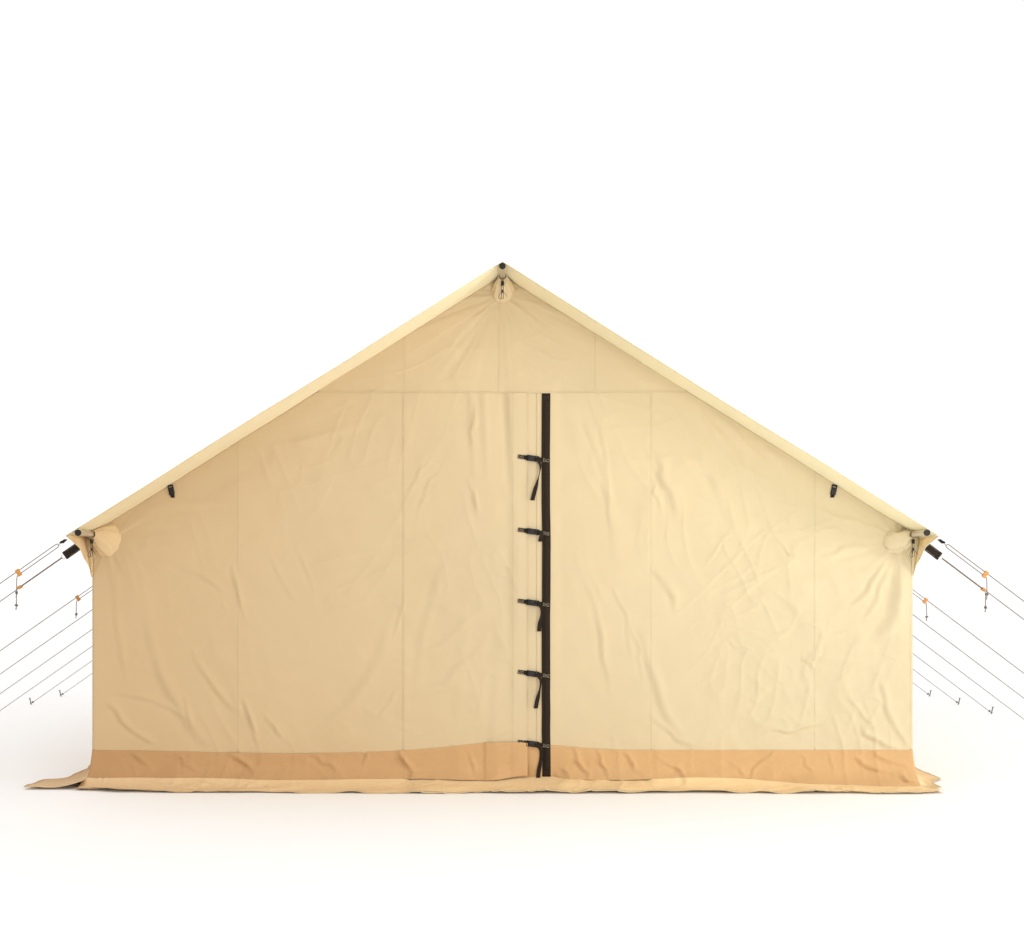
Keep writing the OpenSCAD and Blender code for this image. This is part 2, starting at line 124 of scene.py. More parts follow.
class Nodes:
    """A material's node tree, with short calls for what the materials share."""

    def __init__(self, name, color, roughness, metallic=0.0, more=()):
        self.mat = bpy.data.materials.new(name)
        self.mat.use_nodes = True
        self.mat.diffuse_color = (*color, 1)
        self.tree = self.mat.node_tree
        self.shader = self.tree.nodes["Principled BSDF"]
        values = {"Base Color": (*color, 1), "Roughness": roughness, "Metallic": metallic, **dict(more)}
        for key, value in values.items():
            self.shader.inputs[key].default_value = value
        self.where = self.node("ShaderNodeTexCoord").outputs["Object"]

    def node(self, kind, inputs=(), **settings):
        """A new node with its settings and the fixed values of its inputs."""
        made = self.tree.nodes.new(kind)
        for key, value in settings.items():
            setattr(made, key, value)
        for key, value in dict(inputs).items():
            made.inputs[key].default_value = value
        return made

    def link(self, a, b):
        self.tree.links.new(a, b)

    def feed(self, socket, value):
        """Gives a socket a fixed number or colour, or the output of another node."""
        if isinstance(value, (int, float)):
            socket.default_value = value
        elif isinstance(value, tuple):
            socket.default_value = (*value, 1)
        else:
            self.link(value, socket)

    def noise(self, scale, detail=3.0, rough=0.55, stretch=(1, 1, 1)):
        """Noise over object coordinates that are scaled along each axis."""
        mapping = self.node("ShaderNodeMapping", {"Scale": stretch})
        self.link(self.where, mapping.inputs["Vector"])
        tex = self.node("ShaderNodeTexNoise", {"Scale": scale, "Detail": detail, "Roughness": rough})
        self.link(mapping.outputs["Vector"], tex.inputs["Vector"])
        return tex.outputs["Fac"]

    def wave(self, axis, scale, distort=0.6):
        values = {"Scale": scale, "Distortion": distort, "Detail": 1.0}
        tex = self.node("ShaderNodeTexWave", values, bands_direction=axis)
        self.link(self.where, tex.inputs["Vector"])
        return tex.outputs["Fac"]

    def math(self, op, *values):
        made = self.node("ShaderNodeMath", operation=op)
        for socket, value in zip(made.inputs, values):
            self.feed(socket, value)
        return made.outputs[0]

    def ramp(self, fac, stops):
        made = self.node("ShaderNodeValToRGB")
        for i, (at, color) in enumerate(stops):
            stop = made.color_ramp.elements[i] if i < 2 else made.color_ramp.elements.new(at)
            stop.position, stop.color = at, (*color, 1)
        self.link(fac, made.inputs["Fac"])
        return made.outputs["Color"]

    def mix(self, fac, a, b, blend="MIX"):
        made = self.node("ShaderNodeMix", data_type="RGBA", blend_type=blend)
        for index, value in ((0, fac), (6, a), (7, b)):
            self.feed(made.inputs[index], value)
        return made.outputs[2]

    def color(self, value):
        self.link(value, self.shader.inputs["Base Color"])

    def rough(self, value):
        self.link(value, self.shader.inputs["Roughness"])

    def bump(self, height, distance, strength=1.0):
        """Adds a bump over any that is there already."""
        made = self.node("ShaderNodeBump", {"Distance": distance, "Strength": strength})
        self.link(height, made.inputs["Height"])
        normal = self.shader.inputs["Normal"]
        if normal.is_linked:
            self.link(normal.links[0].from_socket, made.inputs["Normal"])
        self.link(made.outputs["Normal"], normal)


WHITE = (1, 1, 1)
# The weave's threads are bands at this scale, and the painted light across the cloth, paler towards the right
# where the key light falls, changes over this half width.
WEAVE = 1100.0
LIT_RAMP_HALF_W = 2.2


def shade(color, k):
    return tuple(min(1.0, c * k) for c in color)


def canvas_material(name, color, warm, grime=0.0, thread=None, painted_lit_color=None, glow=0.0, early=0.25):
    """Woven cotton: crossed threads, slubs and cloudy tone. Its colour may change towards the right to a
    paler one, painted light where the key light falls, the sooner the greater early is, and thin cloth glows."""
    looks = {"Sheen Weight": 0.06, "Sheen Roughness": 0.5, "Specular IOR Level": 0.2}
    if glow:
        looks |= {"Subsurface Weight": glow, "Subsurface Radius": (1.0, 0.8, 0.5), "Subsurface Scale": 0.004}
    m = Nodes(name, color, 0.88, more=looks)
    cloud = m.ramp(m.noise(0.9, 4.0), [(0.3, shade(color, 0.965)), (0.7, shade(color, 1.02))])
    slubs = m.ramp(m.noise(55, 2.0, stretch=(1, 1, 14)), [(0.42, shade(warm, 0.97)), (0.62, color)])
    body = m.mix(0.3, cloud, slubs)
    threads = m.math("ADD", m.wave("X", WEAVE), m.math("ADD", m.wave("Y", WEAVE), m.wave("Z", WEAVE)))
    fleck = m.ramp(m.noise(420, 1.0), [(0.35, (0.9, 0.88, 0.85)), (0.6, WHITE)])
    place = m.node("ShaderNodeSeparateXYZ")
    m.link(m.where, place.inputs[0])
    # Painted light: the colour is multiplied towards a paler lit colour on the right, where the key light
    # falls, with random patches in it.
    if painted_lit_color:
        across = m.math("DIVIDE", m.math("ADD", place.outputs["X"], early), 2 * LIT_RAMP_HALF_W - early)
        patchy = m.math("MULTIPLY", m.math("SUBTRACT", m.noise(0.8), 0.5), 0.25)
        lit_ramp = m.math("ADD", m.math("ADD", across, 0.5), patchy)
        lit_tint = tuple(b / c for b, c in zip(painted_lit_color, color))
        body = m.mix(1.0, body, m.ramp(lit_ramp, [(0.0, WHITE), (1.0, lit_tint)]), "MULTIPLY")
    body = m.mix(0.35, body, fleck, "MULTIPLY")
    if grime:
        low = m.ramp(m.math("ADD", place.outputs["Z"], m.math("MULTIPLY", m.noise(9), 0.12)),
                     [(0.04, WHITE), (0.17, (0, 0, 0))])
        body = m.mix(m.math("MULTIPLY", low, grime), body, shade(warm, 0.72))
    m.color(body)
    m.bump(threads, 0.0002, 0.6)
    m.bump(m.noise(35, 4.0, 0.6), 0.0009, 0.5)
    return stitched(m, thread) if thread else m.mat


STITCH_PITCH = 0.0065


def stitched(m, dark):
    """A row of stitches along each edge of a ribbon whose UV runs 0 to 1 across and in metres along."""
    uv = m.node("ShaderNodeUVMap", uv_map="along")
    split = m.node("ShaderNodeSeparateXYZ")
    m.link(uv.outputs["UV"], split.inputs[0])
    inward = m.math("PINGPONG", split.outputs["X"], 0.5)
    dash = m.math("LESS_THAN", m.math("FRACT", m.math("DIVIDE", split.outputs["Y"], STITCH_PITCH)), 0.66)
    mask = m.math("MULTIPLY", dash, m.math("COMPARE", inward, 0.22, 0.045))
    base = m.shader.inputs["Base Color"].links[0].from_socket
    m.color(m.mix(m.math("MULTIPLY", mask, 0.6), base, dark))
    m.bump(m.math("SUBTRACT", 1.0, mask), 0.0004)
    return m.mat


def seam_material(name, tone, color, lit_pale, warm, **how):
    """A canvas for seams and hems, a little darker than the cloth they're on, with its stitches and with the
    cloth's painted light, paler towards the right.
    """
    return canvas_material(name, shade(color, tone), warm, thread=shade(color, THREAD_TONE),
                           painted_lit_color=shade(lit_pale, tone), **how)


def webbing_material(name, color, axis="X"):
    """Coarse polyester weave with a herringbone rib along it."""
    m = Nodes(name, color, 0.8, more={"Specular IOR Level": 0.22})
    rib = m.wave(axis, 260, 1.2)
    cross = m.wave("Z" if axis != "Z" else "X", 300, 1.0)
    m.color(m.mix(m.math("MULTIPLY", rib, cross), shade(color, 0.7), shade(color, 1.7)))
    m.bump(m.math("ADD", rib, cross), 0.0004)
    m.bump(m.noise(90), 0.0006, 0.5)
    return m.mat


def plastic_material(name, color, roughness=0.42):
    """Moulded plastic with a fine spark texture and rubbed patches."""
    m = Nodes(name, color, roughness, more={"Specular IOR Level": 0.3})
    worn = m.noise(60, 4.0)
    m.color(m.mix(m.math("MULTIPLY", worn, 0.5), shade(color, 0.85), shade(color, 1.8)))
    m.rough(m.math("ADD", m.math("MULTIPLY", worn, 0.25), roughness - 0.1))
    m.bump(m.noise(700, 1.0), 0.0001, 0.5)
    return m.mat


def metal_material(name, color, roughness, metallic=1.0, axis="Y"):
    """Drawn or coated metal: fine lines along the axis and scuffs."""
    m = Nodes(name, color, roughness, metallic)
    stretch = {"X": (1, 60, 60), "Y": (60, 1, 60), "Z": (60, 60, 1)}[axis]
    lines = m.noise(12, 3.0, stretch=stretch)
    scuff = m.noise(14, 5.0, 0.65)
    m.color(m.mix(scuff, shade(color, 0.86), shade(color, 1.1)))
    m.rough(m.math("ADD", m.math("MULTIPLY", lines, 0.18), roughness))
    m.bump(lines, 0.0001, 0.4)
    return m.mat


def cord_material(name, color, fleck):
    """Braided rope: crossed helical plaits with a lighter tracer."""
    m = Nodes(name, color, 0.75, more={"Sheen Weight": 0.2})
    plait = m.math("MULTIPLY", m.wave("X", 130, 2.0), m.wave("Z", 130, 2.0))
    m.color(m.mix(plait, shade(color, 0.75), fleck))
    m.bump(plait, 0.0006)
    return m.mat


# Each cloth's colour and a paler one on its right, which together paint light that is brighter where the key
# light falls, and the warmer colour of its slubs.
CREAM = (0.560, 0.402, 0.226)
CREAM_LIT_RIGHT = (0.625, 0.532, 0.345)
CREAM_WARM = (0.59, 0.40, 0.20)
# The roof's colours are paler than the walls': a painted glow for light that comes through the thin roof, on
# top of its subsurface glow.
PALE = (0.74, 0.63, 0.40)
ROOF_LIT_RIGHT = (0.95, 0.88, 0.64)
TAN = (0.475, 0.270, 0.122)
TAN_LIT_RIGHT = (0.615, 0.385, 0.182)
TAN_WARM = (0.41, 0.225, 0.095)
SAND = (0.72, 0.50, 0.285)
SAND_LIT_RIGHT = (0.88, 0.64, 0.345)
THREAD_TONE = 0.93
MAT = {
    "canvas": canvas_material("canvas", CREAM, CREAM_WARM, painted_lit_color=CREAM_LIT_RIGHT),
    "roof": canvas_material("roof_canvas", PALE, (0.80, 0.66, 0.40), painted_lit_color=ROOF_LIT_RIGHT, glow=0.4),
    "tan": canvas_material("tan_canvas", TAN, TAN_WARM, grime=0.15, painted_lit_color=TAN_LIT_RIGHT, early=0.9),
    "sod": canvas_material("sod_canvas", SAND, CREAM_WARM, grime=0.15, painted_lit_color=SAND_LIT_RIGHT, early=0.9),
    "webbing": webbing_material("black_webbing", (0.024, 0.015, 0.009)),
    "binding": webbing_material("binding_tape", (0.028, 0.017, 0.009), "Z"),
    "plastic": plastic_material("black_plastic", (0.009, 0.007, 0.006), 0.5),
    "cord": cord_material("dark_cord", (0.016, 0.012, 0.009), (0.06, 0.045, 0.032)),
    "rope": cord_material("guy_rope", (0.15, 0.105, 0.08), (0.30, 0.24, 0.18)),
    "thread": cord_material("stitch_thread", (0.66, 0.54, 0.37), (0.80, 0.68, 0.50)),
    "seam": seam_material("seam_canvas", 0.97, CREAM, CREAM_LIT_RIGHT, CREAM_WARM),
    "roof_seam": seam_material("roof_seam", 0.97, PALE, ROOF_LIT_RIGHT, CREAM),
    "tan_seam": seam_material("tan_seam", 0.95, TAN, TAN_LIT_RIGHT, TAN_WARM, early=0.9),
    "sleeve": canvas_material("sleeve_canvas", (0.70, 0.51, 0.29), CREAM_WARM, painted_lit_color=(0.73, 0.62, 0.41),
                              glow=0.3),
    # The valance's cloth is paler than the walls': a painted glow that brightens the shaded pocket under the
    # overhang, on top of its subsurface glow.
    "valance": canvas_material("valance_canvas", (0.72, 0.535, 0.31), CREAM_WARM,
                               painted_lit_color=(0.85, 0.72, 0.48), glow=0.9),
    "runner": plastic_material("tensioner_plastic", (0.50, 0.22, 0.05), 0.5),
    "ring": metal_material("ring_steel", (0.62, 0.60, 0.57), 0.28),
    "tube": metal_material("frame_tube", (0.74, 0.73, 0.71), 0.32),
    "fitting": metal_material("fitting_steel", (0.30, 0.31, 0.32), 0.5, 0.5),
    "stake": metal_material("stake_steel", (0.16, 0.17, 0.18), 0.5, 0.8, "Z"),
    "zip": webbing_material("zip_tape", (0.05, 0.038, 0.028), "Z"),
    "brass": metal_material("zip_brass", (0.70, 0.50, 0.22), 0.35, 1.0, "Z"),
}


# ---- making pieces ----

def dressed(name, data, look, body, nodes):
    """A piece: its material, body and the CAD nodes that it stands for."""
    data.materials.append(MAT[look])
    obj = on_stage(name, data)
    if body:
        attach(obj, body)
    if nodes:
        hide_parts(*nodes)
    return obj


def new_object(name, mesh, look, body=None, nodes=()):
    """A mesh as a smooth-shaded piece."""
    mesh.polygons.foreach_set("use_smooth", [True] * len(mesh.polygons))
    return dressed(name, mesh, look, body, nodes)


def new_mesh(name, verts, faces):
    mesh = bpy.data.meshes.new(name)
    mesh.from_pydata(verts, [], faces)
    return mesh


def grid_faces(shape, wrap=False, first=0):
    """A grid's vertex numbers, and its quads; wrap joins its last column to its first."""
    i = np.arange(shape[0] * shape[1]).reshape(shape[:2]) + first
    j = np.hstack([i, i[:, :1]]) if wrap else i
    return i, np.stack([j[:-1, :-1], j[:-1, 1:], j[1:, 1:], j[1:, :-1]], -1).reshape(-1, 4).tolist()


def grid_mesh(name, points, wrap=False):
    """A mesh of quads through a rows x columns x 3 array of points."""
    return new_mesh(name, points.reshape(-1, 3).tolist(), grid_faces(points.shape, wrap)[1])


CLOTH_T = 0.0016
WEBBING_T = 0.0018


def thicken(obj, thick):
    """Gives a sheet its thickness with a solidify modifier."""
    solid = obj.modifiers.new("thickness", "SOLIDIFY")
    solid.thickness, solid.offset = thick, 0
    return obj


def cloth(name, points, look, body="tent", nodes=(), area=None,
          thick=CLOTH_T, wrap=False):
    """A sheet of cloth from a grid of points."""
    obj = new_object(name, grid_mesh(name, np.asarray(points), wrap), look, body, nodes)
    thicken(obj, thick)
    return obj


def distances(points):
    """How far along a path each of its points is."""
    return np.concatenate([[0], np.cumsum(np.linalg.norm(np.diff(points, axis=0), axis=1))])


def ribbon_uv(cols, along):
    """UVs that run 0 to 1 across a ribbon and in metres along it."""
    return np.stack(np.broadcast_arrays(np.linspace(0, 1, cols), along[:, None]), -1)


def ribbon_parts(points, across, width, cols=3):
    """A flat band along points, width wide along across, as an array of points and its UVs."""
    points = np.asarray(points, float)
    across = np.broadcast_to(np.asarray(across, float), points.shape)
    u = np.linspace(-0.5, 0.5, cols)
    grid = points[:, None] + across[:, None] * (u[None, :, None] * width)
    return grid, ribbon_uv(cols, distances(points))


def band(name, grid, uv, look, body="tent", nodes=(), thick=WEBBING_T):
    """A strap, seam or hem from a grid of points, with UVs that run along it."""
    mesh = grid_mesh(name, grid)
    layer = mesh.uv_layers.new(name="along")
    loops = np.zeros(len(mesh.loops), np.int32)
    mesh.loops.foreach_get("vertex_index", loops)
    layer.data.foreach_set("uv", uv.reshape(-1, 2)[loops].ravel())
    return thicken(new_object(name, mesh, look, body, nodes), thick)


def strip(name, points, across, width, look, body="tent", nodes=(), thick=WEBBING_T, cols=3):
    return band(name, *ribbon_parts(points, across, width, cols), look, body, nodes, thick)


def refined(node, look, body, bevel=0.0008, split=False):
    """The CAD node's own shape with rounded edges, as one piece or as one for each separate solid."""
    whole = bmesh.new()
    whole.from_mesh(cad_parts[node].data)
    bmesh.ops.remove_doubles(whole, verts=whole.verts, dist=1e-5)
    bmesh.ops.dissolve_limit(whole, angle_limit=math.radians(1), verts=whole.verts, edges=whole.edges)
    if bevel:
        sharp = [e for e in whole.edges if e.calc_face_angle(0) > math.radians(40)]
        bmesh.ops.bevel(whole, geom=sharp, offset=bevel, segments=2, profile=0.6, affect="EDGES",
                        clamp_overlap=True)
    bmesh.ops.triangulate(whole, faces=[f for f in whole.faces if len(f.verts) > 4])
    mesh = bpy.data.meshes.new(node)
    whole.to_mesh(mesh)
    whole.free()
    meshes = islands(mesh) if split else [mesh]
    made = []
    for i, part in enumerate(meshes):
        name = f"{node}_{i + 1}" if split else node + "_refined"
        made.append(new_object(name, part, look, body, [node]))
        part.set_sharp_from_angle(angle=math.radians(35))
    return made if split else made[0]


def islands(mesh):
    """One mesh for each connected part, in order of Y and then of X."""
    count = len(mesh.vertices)
    ends = np.zeros(len(mesh.edges) * 2, np.int32)
    mesh.edges.foreach_get("vertices", ends)
    ends = ends.reshape(-1, 2)
    label = np.arange(count)
    while True:
        low = np.minimum(label[ends[:, 0]], label[ends[:, 1]])
        new = label.copy()
        np.minimum.at(new, ends[:, 0], low)
        np.minimum.at(new, ends[:, 1], low)
        if (new == label).all():
            break
        label = new
    found = []
    for part in np.unique(label):
        piece = bmesh.new()
        piece.from_mesh(mesh)
        piece.verts.ensure_lookup_table()
        bmesh.ops.delete(piece, geom=[v for v in piece.verts if label[v.index] != part], context="VERTS")
        one = bpy.data.meshes.new(mesh.name)
        piece.to_mesh(one)
        piece.free()
        middle = np.mean([v.co for v in one.vertices], axis=0)
        found.append((round(middle[1], 2), round(middle[0], 2), one))
    found.sort(key=lambda item: item[:2])
    return [item[2] for item in found]


def tube_grid(points, radius, sides=8):
    """Rings of points round a smooth path; radius may change along it."""
    points = np.asarray(points, float)
    ahead = np.gradient(points, axis=0)
    ahead /= np.linalg.norm(ahead, axis=1)[:, None] + 1e-12
    side = np.cross(ahead[0], [0.31, 0.87, 0.41])
    radius = np.broadcast_to(radius, len(points))
    turn = np.linspace(0, 2 * np.pi, sides, endpoint=False)
    rings = []
    for place, way, r in zip(points, ahead, radius):
        side = side - way * (side @ way)
        side /= np.linalg.norm(side) + 1e-12
        up = np.cross(way, side)
        rings.append(place + r * (np.cos(turn)[:, None] * side + np.sin(turn)[:, None] * up))
    return np.array(rings)


def grids_mesh(name, grids):
    """One mesh from several wrapped tubes, closed at their ends."""
    verts, faces = [], []
    for grid in grids:
        i, quads = grid_faces(grid.shape, True, len(verts))
        faces += quads + [i[0][::-1].tolist(), i[-1].tolist()]
        verts += grid.reshape(-1, 3).tolist()
    return new_mesh(name, verts, faces)


def rounded(points, times=3):
    """Cuts the corners of a route, which keeps its two ends."""
    points = np.asarray(points, float)
    for _ in range(times):
        a, b = points[:-1], points[1:]
        cut = np.stack([0.75 * a + 0.25 * b, 0.25 * a + 0.75 * b], 1).reshape(-1, points.shape[1])
        points = np.vstack([points[:1], cut[1:-1], points[-1:]])
    return points


STITCH_X = np.array([0.0, 0.001, 0.003, 0.004])
STITCH_R = np.array([0.0004, 0.0009, 0.0009, 0.0004])


def knot_grid(centre, d, turn=0.0):
    """A small overhand knot of cord d thick."""
    t = np.linspace(0, 2 * np.pi, 40)
    x, y, z = np.sin(t) + 2 * np.sin(2 * t), np.cos(t) - 2 * np.cos(2 * t), -np.sin(3 * t)
    size = 0.62 * d
    flat = np.stack([x * size * 0.8, z * size, y * size], -1)
    c, s = math.cos(turn), math.sin(turn)
    flat = np.stack([flat[:, 0] * c - flat[:, 2] * s, flat[:, 1], flat[:, 0] * s + flat[:, 2] * c], -1)
    return tube_grid(flat + np.asarray(centre), d * 0.48)


# ---- noise and wrinkles, all as arrays ----

def lattice(i, j, seed):
    """A fixed pseudo-random number from -1 to 1 for each whole-number place."""
    n = (i.astype(np.int64) * 374761393 + j.astype(np.int64) * 668265263 + seed * 974634777) & 0xFFFFFFFF
    n = ((n ^ (n >> 13)) * 1274126177) & 0xFFFFFFFF
    n = n ^ (n >> 16)
    return n / 2147483647.5 - 1.0


def noise(x, y, seed=0):
    """Smooth value noise from -1 to 1."""
    x, y = np.broadcast_arrays(np.asarray(x, float), np.asarray(y, float))
    i, j = np.floor(x), np.floor(y)
    u, v = x - i, y - j
    u, v = u * u * u * (u * (6 * u - 15) + 10), v * v * v * (v * (6 * v - 15) + 10)
    low = lattice(i, j, seed) * (1 - u) + lattice(i + 1, j, seed) * u
    high = lattice(i, j + 1, seed) * (1 - u) + lattice(i + 1, j + 1, seed) * u
    return low * (1 - v) + high * v


def cloudy(x, y, seed=0, octaves=3):
    """Noise with finer and weaker layers."""
    return sum(noise(x * 2 ** k, y * 2 ** k, seed + 17 * k) / 2 ** k for k in range(octaves))


def smooth(a, b, t):
    """0 below a, 1 above b, and a soft step between."""
    t = np.clip((t - a) / (b - a), 0, 1)
    return t * t * (3 - 2 * t)


def crease(x, z, start, end, bow, width, height):
    """A soft fold along a bowed line, sharper on one side."""
    (x0, z0), (x1, z1) = start, end
    length = math.hypot(x1 - x0, z1 - z0)
    ux, uz = (x1 - x0) / length, (z1 - z0) / length
    along = ((x - x0) * ux + (z - z0) * uz) / length
    inside = np.clip(along, 0, 1)
    across = (x - x0) * uz - (z - z0) * ux
    across = across - 4 * bow * inside * (1 - inside) + 0.016 * noise(along * 4.5, x0 * 9 + z1 * 5, 5)
    d = across / width
    height = height * (1 + 0.45 * noise(along * 6, x0 * 7 + z0 * 3, 6))
    return height * np.sin(np.pi * inside) ** 0.7 * (np.exp(-d * d) - 0.5 * np.exp(-(d - 1.3) ** 2))


def rumple(x, z, seed):
    """Short sharp folds that cross at many angles and come in patches, as packed cloth keeps them."""
    h = 0
    for k, turn in enumerate((0.35, 1.15, 1.9, 2.75)):
        c, s = math.cos(turn), math.sin(turn)
        a, b = x * c + z * s, z * c - x * s
        b = b + 0.06 * noise(a * 3, b * 3, seed + k)
        ridge = 1 - np.abs(noise(a * 2.6, b * 10, seed + 10 + k))
        patch = smooth(0.0, 0.6, noise(x * 1.3 + k, z * 1.5 - k, seed + 20 + k))
        h = h + patch * ridge ** 5
    return h


def fan(x, z, centre, reach, height, folds, seed):
    """Folds that spread out from a place where the cloth is gathered."""
    dx, dz = x - centre[0], z - centre[1]
    r = np.hypot(dx, dz)
    turn = np.arctan2(dz, dx)
    strength = height * (r / (r + 0.06)) * np.exp(-r / reach)
    return strength * (noise(turn * folds, r * 1.5, seed) + 0.5 * noise(turn * folds * 2.1, r * 2, seed + 1))


def roof_under(x):
    """Height of the roof's underside over x."""
    return RIDGE_Z - ROOF_RISE - np.abs(x) * math.tan(SLOPE)


def roof_sag(x, y):
    """The roof hangs a little between the rafters."""
    station = (HALF_L - 0.026) / 2
    between = np.abs(np.sin(np.pi * y / station))
    along = np.clip(np.sin(np.pi * np.clip(np.abs(x) / EAVE_POLE_X, 0, 1)), 0, 1)
    inside = smooth(HALF_L + 0.05, HALF_L - 0.3, np.abs(y))
    sag = -0.020 * between ** 0.8 * along ** 0.7 * inside
    wrinkle = 0.0035 * noise(x * 1.1, y * 5, 71) + 0.004 * noise(x * 0.8, y * 1.4, 72)
    slant = 0.003 * noise(x * 2 + y * 4, y * 2 - x, 75) + 0.0025 * noise(x * 2 - y * 4, y * 2 + x, 76)
    pull = 0
    for end in ROPE_YS:
        near = np.exp(-((y - end) / 0.10) ** 2) * smooth(1.2, 2.4, np.abs(x))
        pull = pull + 0.003 * near * noise(y * 24, x * 1.2, 77)
    return sag + (wrinkle + slant) * along + pull + 0.0007 * cloudy(x * 8, y * 8, 73, 2)


def roof_point(x, y, proud=0.0):
    lift = roof_sag(x, y) + proud - CANVAS_T / 2
    z = RIDGE_Z - np.abs(x) * math.tan(SLOPE) - 0.003 * np.exp(-(x / 0.02) ** 2) + lift * math.cos(SLOPE)
    return np.stack([x + np.sign(x) * lift * math.sin(SLOPE), y, z], -1)


# ---- guy ropes, with their runners, stakes and knots ----

TAB_X = 2.489
TAB_Z = 1.462
TAB_W = 0.050
STAKE_X = {-1: 4.580, 1: 4.430}
# For each rope from the front: its place, its tab's length and where that starts, how far the line is
# rolled about itself, and its runner's place down it.
ROPE_YS = [-3.392, -3.020, -1.470, -0.566, 0.338, 1.242, 2.146, 3.050]
TAB_LS = [0.030, 0.150] + [0.120] * 6
TAB_STARTS = [0.0, 0.018] + [0.0] * 6
LINE_ROLLS = [0.0, math.radians(90)] + [0.0] * 6
RUNNER_AT = [0.330, 0.480] + [0.640] * 6
# The rings of wire on the tabs, the rope and the bend it makes round a ring.
RING_R = 0.013
WIRE_R = 0.0025
ROPE_D = 0.005
BEND_R = 0.010
BEND_X = 2 * RING_R - WIRE_R - ROPE_D / 2 + BEND_R
TAIL_L = 0.085
SIDES = {-1: "left", 1: "right"}


class Line:
    """The frame of one guy line: x runs down it from its tab, across runs along its tab's width and
    off stands off the tab's face."""

    def __init__(self, side, i):
        angle = math.atan(TAB_Z / (STAKE_X[side] - TAB_X))
        self.origin = np.array([side * TAB_X, ROPE_YS[i], TAB_Z])
        self.x = np.array([side * math.cos(angle), 0, -math.sin(angle)])
        up, along = np.array([side * math.sin(angle), 0, math.cos(angle)]), np.array([0, side, 0])
        c, s = math.cos(LINE_ROLLS[i]), math.sin(LINE_ROLLS[i])
        self.off, self.across, self.up = c * up - s * along, c * along + s * up, up
        self.down = (math.sin(angle), -math.cos(angle))
        self.end = math.hypot(STAKE_X[side] - TAB_X, TAB_Z) - 0.011

    def at(self, x, off=0.0, across=0.0, up=0.0):
        """Points from distances down the line, off it, across it and above it."""
        x, off, across, up = (np.asarray(v, float)[..., None] for v in (x, off, across, up))
        return self.origin + x * self.x + off * self.off + across * self.across + up * self.up


def rope_route(line, i):
    """Knotted tail, runner, round the ring, runner, and down to the stake."""
    hole, bend = RUNNER_AT[i], BEND_X + TAB_LS[i]
    dx, dz = line.down
    return line.at(*np.transpose([
        (hole + 0.026 + TAIL_L * dx, -BEND_R, 0, -0.008 + TAIL_L * dz),
        (hole + 0.026 + 0.45 * TAIL_L * dx, -BEND_R, 0, -0.008 + 0.45 * TAIL_L * dz),
        (hole + 0.022, -BEND_R, 0, -0.005), (hole + 0.014, -BEND_R, 0, 0), (hole - 0.040, -BEND_R, 0, 0),
        (bend + 0.020, -BEND_R, 0, 0), (bend, -BEND_R, 0, 0), (bend - 0.007, -0.007, 0, 0),
        (bend - BEND_R, 0, 0, 0), (bend - 0.007, 0.007, 0, 0), (bend, BEND_R, 0, 0),
        (bend + 0.020, BEND_R, 0, 0), (line.end, BEND_R, 0, 0),
    ]))


def cord_curve(name, points, d, look, body, nodes):
    """A round cord as a curve of one open spline through the points."""
    data = bpy.data.curves.new(name, "CURVE")
    data.dimensions = "3D"
    data.bevel_depth, data.bevel_resolution, data.use_fill_caps = d / 2, 3, True
    spline = data.splines.new("POLY")
    spline.points.add(len(points) - 1)
    spline.points.foreach_set("co", np.hstack([points, np.ones((len(points), 1))]).ravel())
    return dressed(name, data, look, body, nodes)


def make_ropes():
    """Sixteen ropes. Each is tied to its stake, and its doubled upper part runs through a runner."""
    stakes = refined("stakes", "stake", "tent", 0.0006, split=True)
    stakes.sort(key=lambda o: np.mean([v.co.x for v in o.data.vertices]) > 0)
    for side, word in SIDES.items():
        runners = []
        for group in ("tensioner_front_", "tensioner_corner_", "tensioners_"):
            node = group + word
            runners += refined(node, "runner", node, 0.0025, split=True)
        for i in range(len(ROPE_YS)):
            line = Line(side, i)
            points = rounded(rope_route(line, i))
            turn = np.linspace(0, 2 * np.pi, 25)[:-1]
            low = points[-1][2]
            pin = np.array([side * (STAKE_X[side] + 0.004), ROPE_YS[i], low])
            hitch = pin + 0.0085 * np.stack([np.cos(turn), np.sin(turn), -0.3 * side * np.cos(turn)], -1)
            hitch = np.vstack([hitch, hitch[:1]])
            grids = [knot_grid(points[0], ROPE_D, i), tube_grid(hitch, ROPE_D / 2),
                     knot_grid(line.at(line.end - 0.016, 0.010, 0, 0.010 - low * 0.6), ROPE_D * 1.1, 2 + i)]
            tip = points[0] - np.array([0, 0, 0.006])
            frayed = [tip, tip - [0.001, 0, 0.010], tip - [0.003, 0.001, 0.022]]
            frayed = rounded(frayed)
            grids.append(tube_grid(frayed, np.linspace(ROPE_D / 2, ROPE_D * 0.62, len(frayed))))
            knots = new_object(f"rope_knots_{word}_{i + 1}", grids_mesh("knots", grids), "rope", "tent")
            rope = cord_curve(f"guy_rope_{word}_{i + 1}", points, ROPE_D, "rope", "tent",
                              ["guy_ropes_" + word])
            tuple(points[-1])
            float(distances(points)[-1])


# ---- drawcord loops that close the pole sleeves ----

CORD_D = 0.003
CORD_Y = HALF_L + 0.093
# Millimetres from the pole's middle: down from the sleeve, round and up again.
LOOP = [(-5, -20.2), (-5, -110), (-7, -122), (-5, -131), (0, -135), (5, -131), (7, -122), (5, -110),
        (5, -20.2)]
POLES = {"ridge": (0.0, RIDGE_POLE_Z), "left": (-EAVE_POLE_X, EAVE_POLE_Z),
         "right": (EAVE_POLE_X, EAVE_POLE_Z)}


